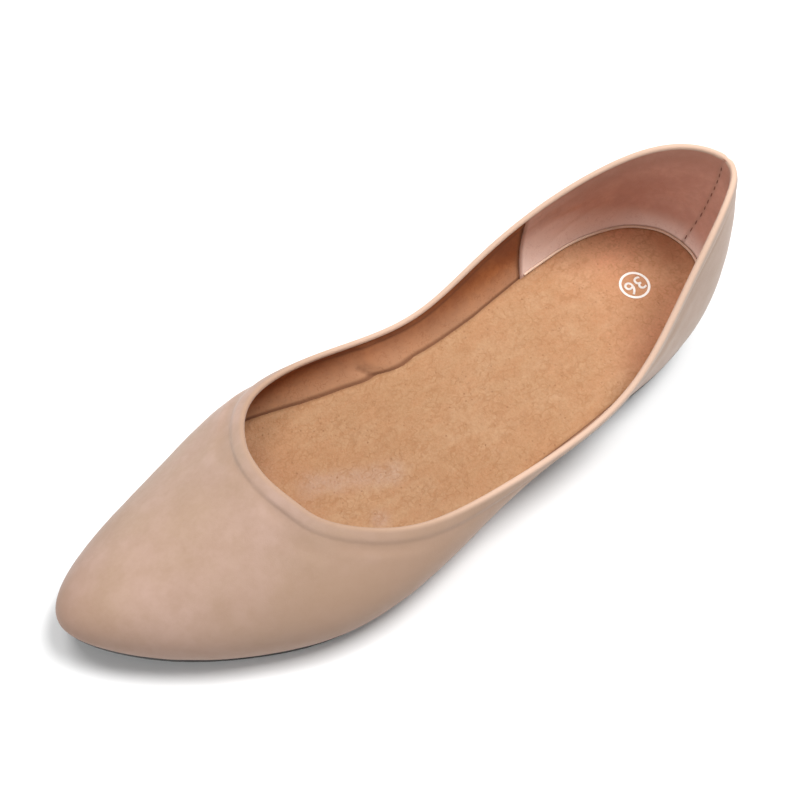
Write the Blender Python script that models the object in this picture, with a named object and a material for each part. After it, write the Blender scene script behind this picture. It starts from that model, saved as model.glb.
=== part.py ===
"""Pointed toe flat shoe for the left foot, as four closed solids.

Metres, +Z up. The toe points along -Y, the heel along +Y, and +X is the outer
side of the foot. The floor is Z = 0 and the origin lies under the middle of
the shoe's box. The last is a closed ring of ribs: each rib is a curve from the
feather line, where upper and sole meet, up to the topline.
"""
import math
from typing import NamedTuple

import bmesh
import bpy
import numpy as np

# The last
LAST_LENGTH = 0.242      # heel to toe along the feather line
BALL_WIDTH = 0.085       # across the ball, over the upper
BACK_HEIGHT = 0.052      # topline over the feather line at the heel
SIDE_HEIGHT = 0.018      # topline over the feather line at the waist
THROAT_HEIGHT = 0.039    # topline over the feather line at the instep
HEEL_PITCH = 0.0122      # heel seat over the forefoot
TOE_SPRING = 0.0090      # toe tip over the forefoot

# The upper
WALL = 0.0016            # leather and lining together
BAND_WIDTH = 0.0045      # folded edge round the topline
BAND_RISE = 0.0005       # how far the fold stands out of the wall
LASTING_MARGIN = 0.0090  # what turns in under the insole
FEATHER_EDGE = 0.0008    # flat that breaks the corner at the feather line

# The bottom
SOLE_THICK = 0.0030
SOLE_INSET = 0.0003      # sole inside the feather line
SOLE_DRAFT = 0.0007      # more inset at the underside
INSOLE_THICK = 0.0025
INSOLE_ROUND = 0.0005    # broken upper corner of the insole
HEEL_LENGTH = 0.0620     # heel lift, back to breast
HEEL_INSET = 0.0022      # heel lift inside the feather line
HEEL_DRAFT = 0.0010      # more inset at the floor
GAP = 0.0003             # between pieces that are glued

# How finely the curves are divided
RING_COUNT = 112
HEEL_COUNT = 48
RIB_SAMPLES = 65
WALL_ROWS = 13
LINING_ROWS = 10
ROW_CROWDING = 1.6       # over 1, rows lie closer where the wall bends most
RIM_STEPS = 4
SPLINE_SAMPLES = 1440

HEIGHTS = {"back": BACK_HEIGHT, "side": SIDE_HEIGHT, "throat": THROAT_HEIGHT}


class Section(NamedTuple):
    """One rib of the last, from the feather line to the topline."""

    name: str
    foot_along: float   # feather line: share of LAST_LENGTH from the heel
    foot_side: float    # feather line: share of BALL_WIDTH, + outward
    top_along: float    # topline, the same two shares
    top_side: float
    height_of: str      # the height that the topline follows here
    height: float       # share of that height
    lean: float         # degrees of the wall over the sole where it starts
    foot_pull: float    # share of the rib that keeps that lean
    slope: float        # degrees of the wall where it ends
    top_pull: float     # share of the rib that keeps that slope


SECTIONS = (
    Section("heel_back", 0.000, 0.000, -0.002, 0.000, "back", 1.00, 65, 0.31, 70, 0.30),
    Section("heel_corner_in", 0.018, -0.185, 0.031, -0.150, "back", 1.01, 67, 0.30, 78, 0.30),
    Section("heel_side_in", 0.110, -0.315, 0.122, -0.310, "back", 0.80, 69, 0.32, 83, 0.30),
    Section("waist_back_in", 0.270, -0.277, 0.278, -0.380, "side", 1.27, 60, 0.33, 88, 0.30),
    Section("waist_in", 0.430, -0.248, 0.412, -0.374, "side", 0.75, 50, 0.36, 87, 0.30),
    Section("joint_back_in", 0.582, -0.350, 0.553, -0.440, "side", 0.99, 56, 0.37, 61, 0.36),
    Section("joint_in", 0.708, -0.447, 0.657, -0.385, "throat", 0.66, 69, 0.34, 31, 0.42),
    Section("toe_side_in", 0.838, -0.385, 0.707, -0.215, "throat", 0.84, 76, 0.26, 29, 0.42),
    Section("toe_corner_in", 0.942, -0.268, 0.720, -0.085, "throat", 0.98, 75, 0.21, 28, 0.40),
    Section("toe_tip", 1.000, -0.092, 0.719, 0.015, "throat", 1.00, 71, 0.21, 26, 0.40),
    Section("toe_corner_out", 0.958, 0.112, 0.708, 0.120, "throat", 0.97, 71, 0.25, 24, 0.40),
    Section("toe_side_out", 0.845, 0.336, 0.680, 0.240, "throat", 0.84, 68, 0.33, 22, 0.43),
    Section("joint_out", 0.712, 0.472, 0.603, 0.380, "throat", 0.72, 64, 0.39, 26, 0.42),
    Section("joint_back_out", 0.569, 0.445, 0.498, 0.430, "side", 1.25, 61, 0.38, 60, 0.36),
    Section("waist_out", 0.426, 0.372, 0.376, 0.433, "side", 0.90, 58, 0.35, 88, 0.30),
    Section("waist_back_out", 0.277, 0.360, 0.244, 0.397, "side", 1.03, 64, 0.32, 86, 0.30),
    Section("heel_side_out", 0.122, 0.310, 0.121, 0.245, "back", 0.74, 76, 0.30, 80, 0.30),
    Section("heel_corner_out", 0.028, 0.175, 0.038, 0.120, "back", 1.00, 72, 0.29, 70, 0.30),
)


class Station(NamedTuple):
    """Height of the last's bottom at one place along it."""

    along: float        # share of LAST_LENGTH from the heel
    heel: float         # share of HEEL_PITCH
    toe: float          # share of TOE_SPRING


BOTTOM = (
    Station(0.00, 1.00, 0.00),
    Station(0.12, 0.97, 0.00),
    Station(0.24, 0.88, 0.00),
    Station(0.32, 0.71, 0.00),
    Station(0.40, 0.46, 0.00),
    Station(0.50, 0.17, 0.00),
    Station(0.57, 0.03, 0.00),
    Station(0.62, 0.00, 0.00),
    Station(0.76, 0.00, 0.00),
    Station(0.85, 0.00, 0.16),
    Station(0.93, 0.00, 0.52),
    Station(1.00, 0.00, 1.00),
)


def smooth(knots, values, at):
    """Read a curve that passes its knots without overshooting them."""
    step = np.diff(knots)
    pace = np.diff(values) / step
    slope = np.zeros(len(knots))
    same_way = pace[:-1] * pace[1:] > 0
    before, after = pace[:-1][same_way], pace[1:][same_way]
    slope[1:-1][same_way] = 2 * before * after / (before + after)
    slope[0], slope[-1] = pace[0], pace[-1]
    at = np.clip(at, knots[0], knots[-1])
    k = np.clip(np.searchsorted(knots, at, side="right") - 1, 0, len(step) - 1)
    u = (at - knots[k]) / step[k]
    rise = values[k + 1] - values[k]
    start, end = slope[k] * step[k], slope[k + 1] * step[k]
    return values[k] + u * start + u * u * (3 * rise - 2 * start - end) + u ** 3 * (start + end - 2 * rise)


def closed_spline(knots, values, at):
    """Cubic spline through rows of values that join up after the last knot."""
    count = len(values)
    step = np.diff(knots)
    looped = np.vstack([values, values[:1]])
    pace = np.diff(looped, axis=0) / step[:, None]
    matrix = np.zeros((count, count))
    for i in range(count):
        matrix[i, i - 1] += step[i - 1]
        matrix[i, i] += 2 * (step[i - 1] + step[i])
        matrix[i, (i + 1) % count] += step[i]
    bend = np.linalg.solve(matrix, 6 * (pace - np.roll(pace, 1, axis=0)))
    bend = np.vstack([bend, bend[:1]])
    k = np.clip(np.searchsorted(knots, at, side="right") - 1, 0, count - 1)
    width = step[k][:, None]
    u = (at - knots[k])[:, None]
    w = width - u
    curve = (bend[k] * w ** 3 + bend[k + 1] * u ** 3) / (6 * width)
    return curve + (looped[k] / width - bend[k] * width / 6) * w + (looped[k + 1] / width - bend[k + 1] * width / 6) * u


def bottom_height(y):
    """Height of the last's bottom over the floor."""
    along = 0.5 - np.asarray(y) / LAST_LENGTH
    knots = np.array([station.along for station in BOTTOM])
    heel = smooth(knots, np.array([station.heel for station in BOTTOM]), along)
    toe = smooth(knots, np.array([station.toe for station in BOTTOM]), along)
    return GAP + SOLE_THICK + heel * HEEL_PITCH + toe * TOE_SPRING


def place(along, side):
    """Turn shares of the last into X and Y."""
    return np.stack([side * BALL_WIDTH, (0.5 - along) * LAST_LENGTH], axis=-1)


def plan_normals(points):
    """Outward directions of a closed ring, seen from above."""
    run = np.roll(points, -1, axis=0)[:, :2] - np.roll(points, 1, axis=0)[:, :2]
    run /= np.linalg.norm(run, axis=1)[:, None]
    normals = np.column_stack([run[:, 1], -run[:, 0]])
    inward = np.sum(normals * (points[:, :2] - points[:, :2].mean(axis=0))) < 0
    return np.column_stack([-normals if inward else normals, np.zeros(len(points))])


def inset(points, distance):
    """Draw a ring in by a distance, seen from above."""
    return points - np.reshape(distance, (-1, 1)) * plan_normals(points)


def at_height(points, over_bottom):
    """Lay a ring at a height over the last's bottom."""
    laid = points.copy()
    laid[:, 2] = bottom_height(points[:, 1]) + over_bottom
    return laid


def section_rows():
    """The sections as numbers: feather line, topline and how the wall bends."""
    rows = []
    for s in SECTIONS:
        foot = place(s.foot_along, s.foot_side)
        top = place(s.top_along, s.top_side)
        height = bottom_height(top[1]) + s.height * HEIGHTS[s.height_of]
        bends = math.radians(s.lean), s.foot_pull, math.radians(s.slope), s.top_pull
        rows.append([*foot, *top, height, *bends])
    return np.array(rows)


def ring_rows(count, length=LAST_LENGTH):
    """Rows of a ring whose two sides lie at the same stations, heel first."""
    rows = section_rows()
    looped = np.vstack([rows, rows[:1]])
    knots = np.append(0.0, np.cumsum(np.linalg.norm(np.diff(looped[:, :2], axis=0), axis=1)))
    at = np.linspace(0.0, knots[-1], SPLINE_SAMPLES, endpoint=False)
    fine = closed_spline(knots, rows, at)
    fine = np.roll(fine, -int(np.argmax(fine[:, 1])), axis=0)
    toe = int(np.argmin(fine[:, 1]))
    inner, outer = fine[:toe + 1], np.vstack([fine[toe:], fine[:1]])[::-1]
    half = count // 2
    whole = length >= LAST_LENGTH
    turn = math.pi if whole else math.pi / 2
    share = (1 - np.cos(np.linspace(0, turn, half + 1))) / (2 if whole else 1)
    reach = fine[0, 1] - fine[toe, 1] if whole else length
    stations = fine[0, 1] - share * reach
    sides = [
        np.column_stack([np.interp(-stations, -side[:, 1], column) for column in side.T])
        for side in (inner, outer)
    ]
    last = -1 if whole else None
    return np.vstack([sides[0], sides[1][1:last][::-1]])


def foot_ring(rows):
    """The feather line of a ring, on the last's bottom."""
    return at_height(np.column_stack([rows[:, 0], rows[:, 1], rows[:, 0]]), 0.0)


class Wall:
    """The upper's outer face: one rib for each row of the ring."""

    def __init__(self, rows):
        """Bend every rib from its feather point to its topline point."""
        self.foot = foot_ring(rows)
        self.top = rows[:, 2:5]
        self.lean = rows[:, 5]
        chord = np.linalg.norm(self.top - self.foot, axis=1)
        up = np.array([0.0, 0.0, 1.0])
        lean, slope = rows[:, 5][:, None], rows[:, 7][:, None]
        leave = plan_normals(self.foot) * np.cos(lean) + up * np.sin(lean)
        arrive = -plan_normals(self.top) * np.cos(slope) + up * np.sin(slope)
        first = self.foot + leave * (rows[:, 6] * chord)[:, None]
        second = self.top - arrive * (rows[:, 8] * chord)[:, None]
        t = np.linspace(0.0, 1.0, RIB_SAMPLES)[:, None, None]
        s = 1 - t
        self.curve = s ** 3 * self.foot + 3 * s * s * t * first + 3 * s * t * t * second + t ** 3 * self.top
        steps = np.linalg.norm(np.diff(self.curve, axis=0), axis=2)
        self.distance = np.vstack([np.zeros(len(rows)), np.cumsum(steps, axis=0)])
        self.length = self.distance[-1]
        self.normal = self.outward()
        self.end = self.curve[-1] - self.curve[-2]
        self.end /= np.linalg.norm(self.end, axis=1)[:, None]

    def outward(self):
        """Unit normals of the face, out of the shoe."""
        around = np.roll(self.curve, -1, axis=1) - np.roll(self.curve, 1, axis=1)
        normal = np.cross(np.gradient(self.curve, axis=0), around)
        normal /= np.linalg.norm(normal, axis=2)[:, :, None]
        inward = np.sum(normal[0] * plan_normals(self.foot)) < 0
        return -normal if inward else normal

    def row(self, distance, offset):
        """A ring at a distance up each rib, moved out of the face by offset."""
        points = np.empty_like(self.foot)
        for k, along in enumerate(distance):
            for axis in range(3):
                face = self.curve[:, k, axis] + offset * self.normal[:, k, axis]
                points[k, axis] = np.interp(along, self.distance[:, k], face)
        return points

    def lining_edge(self, over_bottom, clearance):
        """A ring inside the wall at a height over the last's bottom."""
        face = self.curve - WALL * self.normal
        height = face[:, :, 2] - bottom_height(face[:, :, 1])
        edge = np.array([
            [np.interp(over_bottom, height[:, k], face[:, k, axis]) for axis in range(3)]
            for k in range(face.shape[1])
        ])
        return at_height(inset(edge, clearance), over_bottom)


def upper_rings(wall):
    """Rings round the wall's thickness: outside up, over the rim, inside down."""
    rings = []
    plain = wall.length - BAND_WIDTH
    for share in np.linspace(0.0, 1.0, WALL_ROWS) ** ROW_CROWDING:
        rings.append(wall.row(FEATHER_EDGE + share * (plain - FEATHER_EDGE), 0.0))
    rings.append(wall.row(plain + BAND_RISE, BAND_RISE))
    rings.append(wall.row(wall.length - BAND_WIDTH / 2, BAND_RISE))
    middle = wall.top + wall.normal[-1] * (BAND_RISE - WALL) / 2
    radius = (BAND_RISE + WALL) / 2
    for angle in np.linspace(0.0, math.pi, RIM_STEPS + 1):
        around = math.cos(angle) * wall.normal[-1] + math.sin(angle) * wall.end
        rings.append(middle + radius * around)
    lowest = np.minimum(2 * WALL, wall.length / 3)
    for share in np.linspace(1.0, 0.0, LINING_ROWS)[1:] ** ROW_CROWDING:
        rings.append(wall.row(lowest + share * (wall.length - lowest), -WALL))
    corner = inset(wall.foot, WALL * np.tan(wall.lean / 2))
    flange = inset(wall.foot, LASTING_MARGIN)
    rings.append(at_height(corner, WALL))
    rings.append(at_height(flange, WALL))
    rings.append(at_height(flange, 0.0))
    rings.append(at_height(inset(wall.foot, FEATHER_EDGE), 0.0))
    return rings


def insole_rings(wall):
    """Rings of the insole, from its underside up, clear of the lining."""
    seat = WALL + GAP
    face = seat + INSOLE_THICK
    return [
        wall.lining_edge(seat, GAP),
        wall.lining_edge(face - INSOLE_ROUND, GAP),
        wall.lining_edge(face, GAP + INSOLE_ROUND),
    ]


def outsole_rings(foot):
    """Rings of the outsole, from its underside up."""
    side = inset(foot, SOLE_INSET)
    tread = inset(foot, SOLE_INSET + SOLE_DRAFT)
    return [
        at_height(tread, -GAP - SOLE_THICK),
        at_height(side, -GAP - SOLE_THICK + SOLE_DRAFT),
        at_height(side, -GAP),
    ]


def heel_rings():
    """Rings of the heel lift, from the floor up to the outsole."""
    half = HEEL_COUNT // 2
    foot = foot_ring(ring_rows(HEEL_COUNT, HEEL_LENGTH))
    flanks = plan_normals(foot)
    corners = (half, half + 1)
    for corner, neighbour in zip(corners, (half - 1, half + 2)):
        flanks[corner] = flanks[neighbour]
    top = foot - flanks * HEEL_INSET
    floor = foot - flanks * (HEEL_INSET + HEEL_DRAFT)
    for ring in (top, floor):
        ring[list(corners), 1] = foot[list(corners), 1]
    floor[:, 2] = 0.0
    return [floor, at_height(top, -2 * GAP - SOLE_THICK)]


def skin(mesh, lower, upper):
    """Quads between two rings of points that follow each other."""
    count = len(lower)
    for k in range(count):
        after = (k + 1) % count
        mesh.faces.new((lower[k], lower[after], upper[after], upper[k]))


def cap(mesh, ring):
    """Close a ring with strips across it, from the heel to the toe."""
    count = len(ring)
    for k in range(count // 2):
        corners = [ring[k], ring[(k + 1) % count], ring[-k - 1], ring[-k % count]]
        mesh.faces.new(list(dict.fromkeys(corners)))


def solid(name, rings, look, hollow=False):
    """Make one closed object from rings; a hollow one joins its ends."""
    mesh = bmesh.new()
    loops = [[mesh.verts.new(point) for point in ring] for ring in rings]
    for lower, upper in zip(loops, loops[1:]):
        skin(mesh, lower, upper)
    if hollow:
        skin(mesh, loops[-1], loops[0])
    else:
        cap(mesh, loops[0])
        cap(mesh, loops[-1])
    bmesh.ops.recalc_face_normals(mesh, faces=mesh.faces)
    data = bpy.data.meshes.new(name)
    mesh.to_mesh(data)
    mesh.free()
    data.materials.append(look)
    data.shade_smooth()
    data.set_sharp_from_angle(angle=math.radians(40))
    shape = bpy.data.objects.new(name, data)
    bpy.context.scene.collection.objects.link(shape)
    return shape


def material(name, colour, roughness):
    """A plain surface of one colour."""
    look = bpy.data.materials.new(name)
    look.use_nodes = True
    shader = look.node_tree.nodes["Principled BSDF"]
    shader.inputs["Base Color"].default_value = (*colour, 1.0)
    shader.inputs["Roughness"].default_value = roughness
    shader.inputs["Metallic"].default_value = 0.0
    return look


def centre(shapes):
    """Move the shoe so that the origin is under the middle of its box."""
    corners = np.array([corner for shape in shapes for corner in shape.bound_box])
    middle = (corners.min(axis=0) + corners.max(axis=0)) / 2
    for shape in shapes:
        shape.location = (-middle[0], -middle[1], 0.0)


def build():
    """Build the shoe's four pieces."""
    for shape in list(bpy.data.objects):
        bpy.data.objects.remove(shape)
    leather = material("nude_leather", (0.66, 0.46, 0.36), 0.75)
    pigskin = material("tan_pigskin", (0.52, 0.27, 0.12), 0.80)
    rubber = material("black_rubber", (0.03, 0.03, 0.03), 0.70)
    wall = Wall(ring_rows(RING_COUNT))
    shapes = [
        solid("upper", upper_rings(wall), leather, hollow=True),
        solid("insole", insole_rings(wall), pigskin),
        solid("outsole", outsole_rings(wall.foot), rubber),
        solid("heel", heel_rings(), rubber),
    ]
    centre(shapes)


build()
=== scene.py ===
"""Looks of a pointed toe flat shoe: nude nubuck upper, suede linings, tan insole and rubber bottom."""
from __future__ import annotations

import logging
import math
from dataclasses import dataclass, field
from enum import Enum
from typing import Any, Iterable

import bpy
import numpy as np
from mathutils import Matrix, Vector, kdtree, noise
from mathutils.bvhtree import BVHTree

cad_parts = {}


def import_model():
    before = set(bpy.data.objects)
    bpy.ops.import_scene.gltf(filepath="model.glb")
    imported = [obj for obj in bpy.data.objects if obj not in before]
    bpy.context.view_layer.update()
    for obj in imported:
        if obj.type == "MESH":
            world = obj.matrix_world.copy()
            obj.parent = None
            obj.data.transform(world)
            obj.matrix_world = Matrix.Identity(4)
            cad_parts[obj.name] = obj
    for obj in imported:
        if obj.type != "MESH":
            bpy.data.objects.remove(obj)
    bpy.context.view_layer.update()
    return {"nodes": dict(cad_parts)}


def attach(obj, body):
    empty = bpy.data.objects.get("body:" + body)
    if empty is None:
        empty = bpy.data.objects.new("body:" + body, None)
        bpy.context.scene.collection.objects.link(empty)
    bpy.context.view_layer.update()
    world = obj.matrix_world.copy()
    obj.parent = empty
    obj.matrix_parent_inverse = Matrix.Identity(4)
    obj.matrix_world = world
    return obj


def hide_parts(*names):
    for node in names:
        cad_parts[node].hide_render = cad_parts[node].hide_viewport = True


LOG = logging.getLogger("flat_shoe")
BODY = "root"
LEVEL = 0.93        # a face is nearly level where its normal rises or falls by more than this


class Slot(Enum):
    """The record's material slots."""

    LEATHER = "nude_leather"
    PIGSKIN = "tan_pigskin"
    RUBBER = "black_rubber"


class Bench:
    """The workbench: selecting, editing and finishing one piece at a time."""

    @staticmethod
    def only(piece: bpy.types.Object) -> None:
        """Select one piece alone and make it active.

        Args:
            piece: The piece to work on.
        """
        if bpy.context.mode != "OBJECT":
            bpy.ops.object.mode_set(mode="OBJECT")
        bpy.ops.object.select_all(action="DESELECT")
        piece.select_set(True)
        bpy.context.view_layer.objects.active = piece

    @staticmethod
    def edit_all(piece: bpy.types.Object) -> None:
        """Enter edit mode with the whole piece selected.

        Args:
            piece: The piece to edit.
        """
        Bench.only(piece)
        bpy.ops.object.mode_set(mode="EDIT")
        bpy.ops.mesh.select_all(action="SELECT")

    @staticmethod
    def copy(piece: bpy.types.Object, name: str) -> bpy.types.Object:
        """Copy a piece with its own mesh.

        Args:
            piece: The object to copy.
            name: The copy's name.

        Returns:
            The copy, free of its parent and its materials.
        """
        twin = piece.copy()
        twin.data = piece.data.copy()
        twin.parent = None
        twin.name = twin.data.name = name
        twin.data.materials.clear()
        bpy.context.scene.collection.objects.link(twin)
        return twin

    @staticmethod
    def quads(node: bpy.types.Object, name: str) -> bpy.types.Object:
        """Copy a CAD node, merge its loose triangles and pair them into quads.

        Args:
            node: The CAD node.
            name: The copy's name.

        Returns:
            The copy as a clean quad mesh.
        """
        twin = Bench.copy(node, name)
        Bench.edit_all(twin)
        bpy.ops.mesh.remove_doubles(threshold=1e-6)
        bpy.ops.mesh.customdata_custom_splitnormals_clear()
        bpy.ops.mesh.tris_convert_to_quads(
            face_threshold=math.pi, shape_threshold=math.pi, topology_influence=2.0)
        bpy.ops.object.mode_set(mode="OBJECT")
        return twin

    @staticmethod
    def pick_faces(piece: bpy.types.Object, chosen: np.ndarray) -> None:
        """Enter edit mode with the chosen faces selected.

        Args:
            piece: The piece to edit.
            chosen: One boolean for each face.
        """
        Bench.only(piece)
        mesh = piece.data
        mesh.vertices.foreach_set("select", np.zeros(len(mesh.vertices), bool))
        mesh.edges.foreach_set("select", np.zeros(len(mesh.edges), bool))
        mesh.polygons.foreach_set("select", np.asarray(chosen, bool))
        bpy.context.tool_settings.mesh_select_mode = (False, False, True)
        bpy.ops.object.mode_set(mode="EDIT")

    @staticmethod
    def cut_away(piece: bpy.types.Object, chosen: np.ndarray) -> None:
        """Delete the chosen faces.

        Args:
            piece: The piece to cut.
            chosen: One boolean for each face.
        """
        Bench.pick_faces(piece, chosen)
        bpy.ops.mesh.delete(type="FACE")
        bpy.ops.object.mode_set(mode="OBJECT")

    @staticmethod
    def modify(piece: bpy.types.Object, kind: str, **settings: Any) -> None:
        """Add a modifier with its settings and apply it.

        Args:
            piece: The piece to shape.
            kind: Blender's modifier type.
            **settings: The modifier's own settings.
        """
        Bench.only(piece)
        modifier = piece.modifiers.new(kind.lower(), kind)
        for key, value in settings.items():
            setattr(modifier, key, value)
        bpy.ops.object.modifier_apply(modifier=modifier.name)

    @staticmethod
    def subdivide(piece: bpy.types.Object, levels: int) -> None:
        """Round a piece with an applied Subdivision Surface."""
        Bench.modify(piece, "SUBSURF", levels=levels, render_levels=levels)

    @staticmethod
    def thicken(piece: bpy.types.Object, thickness: float) -> None:
        """Give a face its thickness, on the side that its normals leave."""
        Bench.modify(piece, "SOLIDIFY", thickness=thickness, offset=-1.0, use_even_offset=True)

    @staticmethod
    def join(parts: list[bpy.types.Object], name: str) -> bpy.types.Object:
        """Join parts into the first one, with its place in its mesh.

        Args:
            parts: The parts, the one that is kept first.
            name: The joined piece's name.

        Returns:
            The joined piece.
        """
        bpy.ops.object.select_all(action="DESELECT")
        for part in parts:
            part.select_set(True)
        bpy.context.view_layer.objects.active = parts[0]
        bpy.ops.object.join()
        bpy.ops.object.transform_apply(location=True, rotation=True, scale=True)
        parts[0].name = parts[0].data.name = name
        return parts[0]

    @staticmethod
    def smooth(piece: bpy.types.Object, angle: float = 40.0) -> None:
        """Shade a piece smooth, with edges sharper than the angle kept."""
        Bench.only(piece)
        bpy.ops.object.shade_smooth_by_angle(angle=math.radians(angle))

    @staticmethod
    def places(piece: bpy.types.Object) -> np.ndarray:
        """Read the vertices' places.

        Args:
            piece: The piece to read.

        Returns:
            A row of X, Y, Z for each vertex.
        """
        flat = np.empty(len(piece.data.vertices) * 3)
        piece.data.vertices.foreach_get("co", flat)
        return flat.reshape(-1, 3)

    @staticmethod
    def normals(piece: bpy.types.Object) -> np.ndarray:
        """Read the vertices' normals.

        Args:
            piece: The piece to read.

        Returns:
            A row of X, Y, Z for each vertex.
        """
        flat = np.empty(len(piece.data.vertices) * 3)
        piece.data.vertex_normals.foreach_get("vector", flat)
        return flat.reshape(-1, 3)

    @staticmethod
    def faces(piece: bpy.types.Object) -> tuple[np.ndarray, np.ndarray]:
        """Read the faces' middles and normals.

        Args:
            piece: The piece to read.

        Returns:
            Two arrays with a row of X, Y, Z for each face.
        """
        count = len(piece.data.polygons)
        middles, normals = np.empty(count * 3), np.empty(count * 3)
        piece.data.polygons.foreach_get("center", middles)
        piece.data.polygons.foreach_get("normal", normals)
        return middles.reshape(-1, 3), normals.reshape(-1, 3)

    @staticmethod
    def move_to(piece: bpy.types.Object, places: np.ndarray) -> None:
        """Put the vertices at new places."""
        piece.data.vertices.foreach_set("co", places.ravel())
        piece.data.update()

    @staticmethod
    def paint(piece: bpy.types.Object, name: str, values: np.ndarray) -> None:
        """Store one number for each vertex, for the finish to read."""
        layer = piece.data.attributes.new(name, "FLOAT", "POINT")
        layer.data.foreach_set("value", np.asarray(values, np.float32))

    @staticmethod
    def finish(piece: bpy.types.Object, look: bpy.types.Material, slot: Slot) -> None:
        """Dress a piece, tie it to the shoe's body and report it.

        Args:
            piece: The finished piece.
            look: Its material.
            slot: The record's slot that it belongs to; not used.
        """
        piece.data.materials.clear()
        piece.data.materials.append(look)
        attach(piece, BODY)
        LOG.info("%s: %d faces in %s", piece.name, len(piece.data.polygons), look.name)


def hump(distance: np.ndarray, width: float) -> np.ndarray:
    """A smooth bump of height one that fades over the width to each side."""
    return np.exp(-(np.asarray(distance) / width) ** 2)


def beside_line(places: np.ndarray, start: np.ndarray, end: np.ndarray) -> tuple[np.ndarray, np.ndarray]:
    """Measure places from the nearest points of a straight line.

    Args:
        places: Rows of coordinates.
        start: Where the line starts.
        end: Where it ends.

    Returns:
        The share of the line that each place lies along, and its offset from there.
    """
    share = np.clip((places - start) @ (end - start) / np.sum((end - start) ** 2), 0.0, 1.0)
    return share, places - (start + share[:, None] * (end - start))


def ramp(values: np.ndarray, start: float, length: float) -> np.ndarray:
    """Rise from 0 at the start to 1 over the length."""
    return np.clip((np.asarray(values) - start) / length, 0.0, 1.0)


def ripple(places: np.ndarray, size: float, seed: float) -> np.ndarray:
    """Soft unevenness at the places.

    Args:
        places: Rows of X, Y, Z.
        size: Distance over which the surface rises and falls.
        seed: Shifts the pattern.

    Returns:
        A number between about -1 and 1 for each place.
    """
    shift = Vector((seed, 2.0 * seed, -seed))
    return np.array([noise.noise(Vector(place) / size + shift) for place in places])


@dataclass
class HeightLine:
    """Height of a face that only rises and falls along the shoe."""

    along: np.ndarray
    height: np.ndarray

    @classmethod
    def of(cls, piece: bpy.types.Object) -> "HeightLine":
        """Measure the nearly level upper faces of a piece.

        Args:
            piece: The piece to measure.

        Returns:
            The height line.
        """
        _, normals = Bench.faces(piece)
        level = normals[:, 2] > LEVEL
        corners = {v for face, keep in zip(piece.data.polygons, level) if keep for v in face.vertices}
        places = Bench.places(piece)[sorted(corners)]
        places = places[np.argsort(places[:, 1])]
        return cls(places[:, 1], places[:, 2])

    def at(self, along: np.ndarray | float) -> np.ndarray | float:
        """Read the height at places along the shoe."""
        return np.interp(along, self.along, self.height)


@dataclass
class Rim:
    """The top of the upper's edge, walked once round from the heel."""

    points: np.ndarray
    tree: kdtree.KDTree
    edges: list[tuple[int, int]]

    FINE = 8            # points for each edge of the loop
    STEEP = 10          # how much a slope counts against an edge when the first one is chosen

    @classmethod
    def of(cls, shell: bpy.types.Object) -> "Rim":
        """Find the loop of edges along the top of the wall.

        Args:
            shell: The whole upper as quads.

        Returns:
            The rim, as close points in order, heel first and inner side next.
        """
        Bench.only(shell)
        mesh = shell.data
        places = Bench.places(shell)
        ends = np.array([edge.vertices[:] for edge in mesh.edges])
        tops = places[ends][:, :, 2]
        start = int(np.argmax(tops.sum(axis=1) - cls.STEEP * abs(tops[:, 0] - tops[:, 1])))
        mesh.vertices.foreach_set("select", np.zeros(len(mesh.vertices), bool))
        mesh.polygons.foreach_set("select", np.zeros(len(mesh.polygons), bool))
        mesh.edges.foreach_set("select", np.arange(len(mesh.edges)) == start)
        bpy.context.tool_settings.mesh_select_mode = (False, True, False)
        bpy.ops.object.mode_set(mode="EDIT")
        bpy.ops.mesh.loop_multi_select(ring=False)
        bpy.ops.object.mode_set(mode="OBJECT")
        chosen = [tuple(edge.vertices) for edge in mesh.edges if edge.select]
        order = cls.walk(chosen)
        loop = places[order]
        loop = np.roll(loop, -int(np.argmax(loop[:, 1])), axis=0)
        if loop[len(loop) // 4, 0] > 0:
            loop = np.roll(loop[::-1], 1, axis=0)
        after = np.roll(loop, -1, axis=0)
        shares = np.arange(cls.FINE) / cls.FINE
        points = (loop[:, None] * (1 - shares)[:, None] + after[:, None] * shares[:, None]).reshape(-1, 3)
        tree = kdtree.KDTree(len(points))
        for index, point in enumerate(points):
            tree.insert(point, index)
        tree.balance()
        return cls(points, tree, chosen)

    @staticmethod
    def walk(edges: list[tuple[int, int]]) -> list[int]:
        """Put the vertices of a closed loop of edges in order.

        Args:
            edges: The loop's edges in any order.

        Returns:
            The vertices in order, each once.
        """
        near: dict[int, list[int]] = {}
        for a, b in edges:
            near.setdefault(a, []).append(b)
            near.setdefault(b, []).append(a)
        order = [edges[0][0], edges[0][1]]
        while True:
            after = [v for v in near[order[-1]] if v != order[-2]][0]
            if after == order[0]:
                return order
            order.append(after)

    def measure(self, places: np.ndarray) -> tuple[np.ndarray, np.ndarray]:
        """Measure places against the rim.

        Args:
            places: Rows of X, Y, Z.

        Returns:
            Their distances from the rim, and how far round it they lie, from
            0 at the heel over the inner side to 1 at the heel again.
        """
        found = [self.tree.find(place) for place in places]
        return np.array([f[2] for f in found]), np.array([f[1] for f in found]) / len(self.points)


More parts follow.
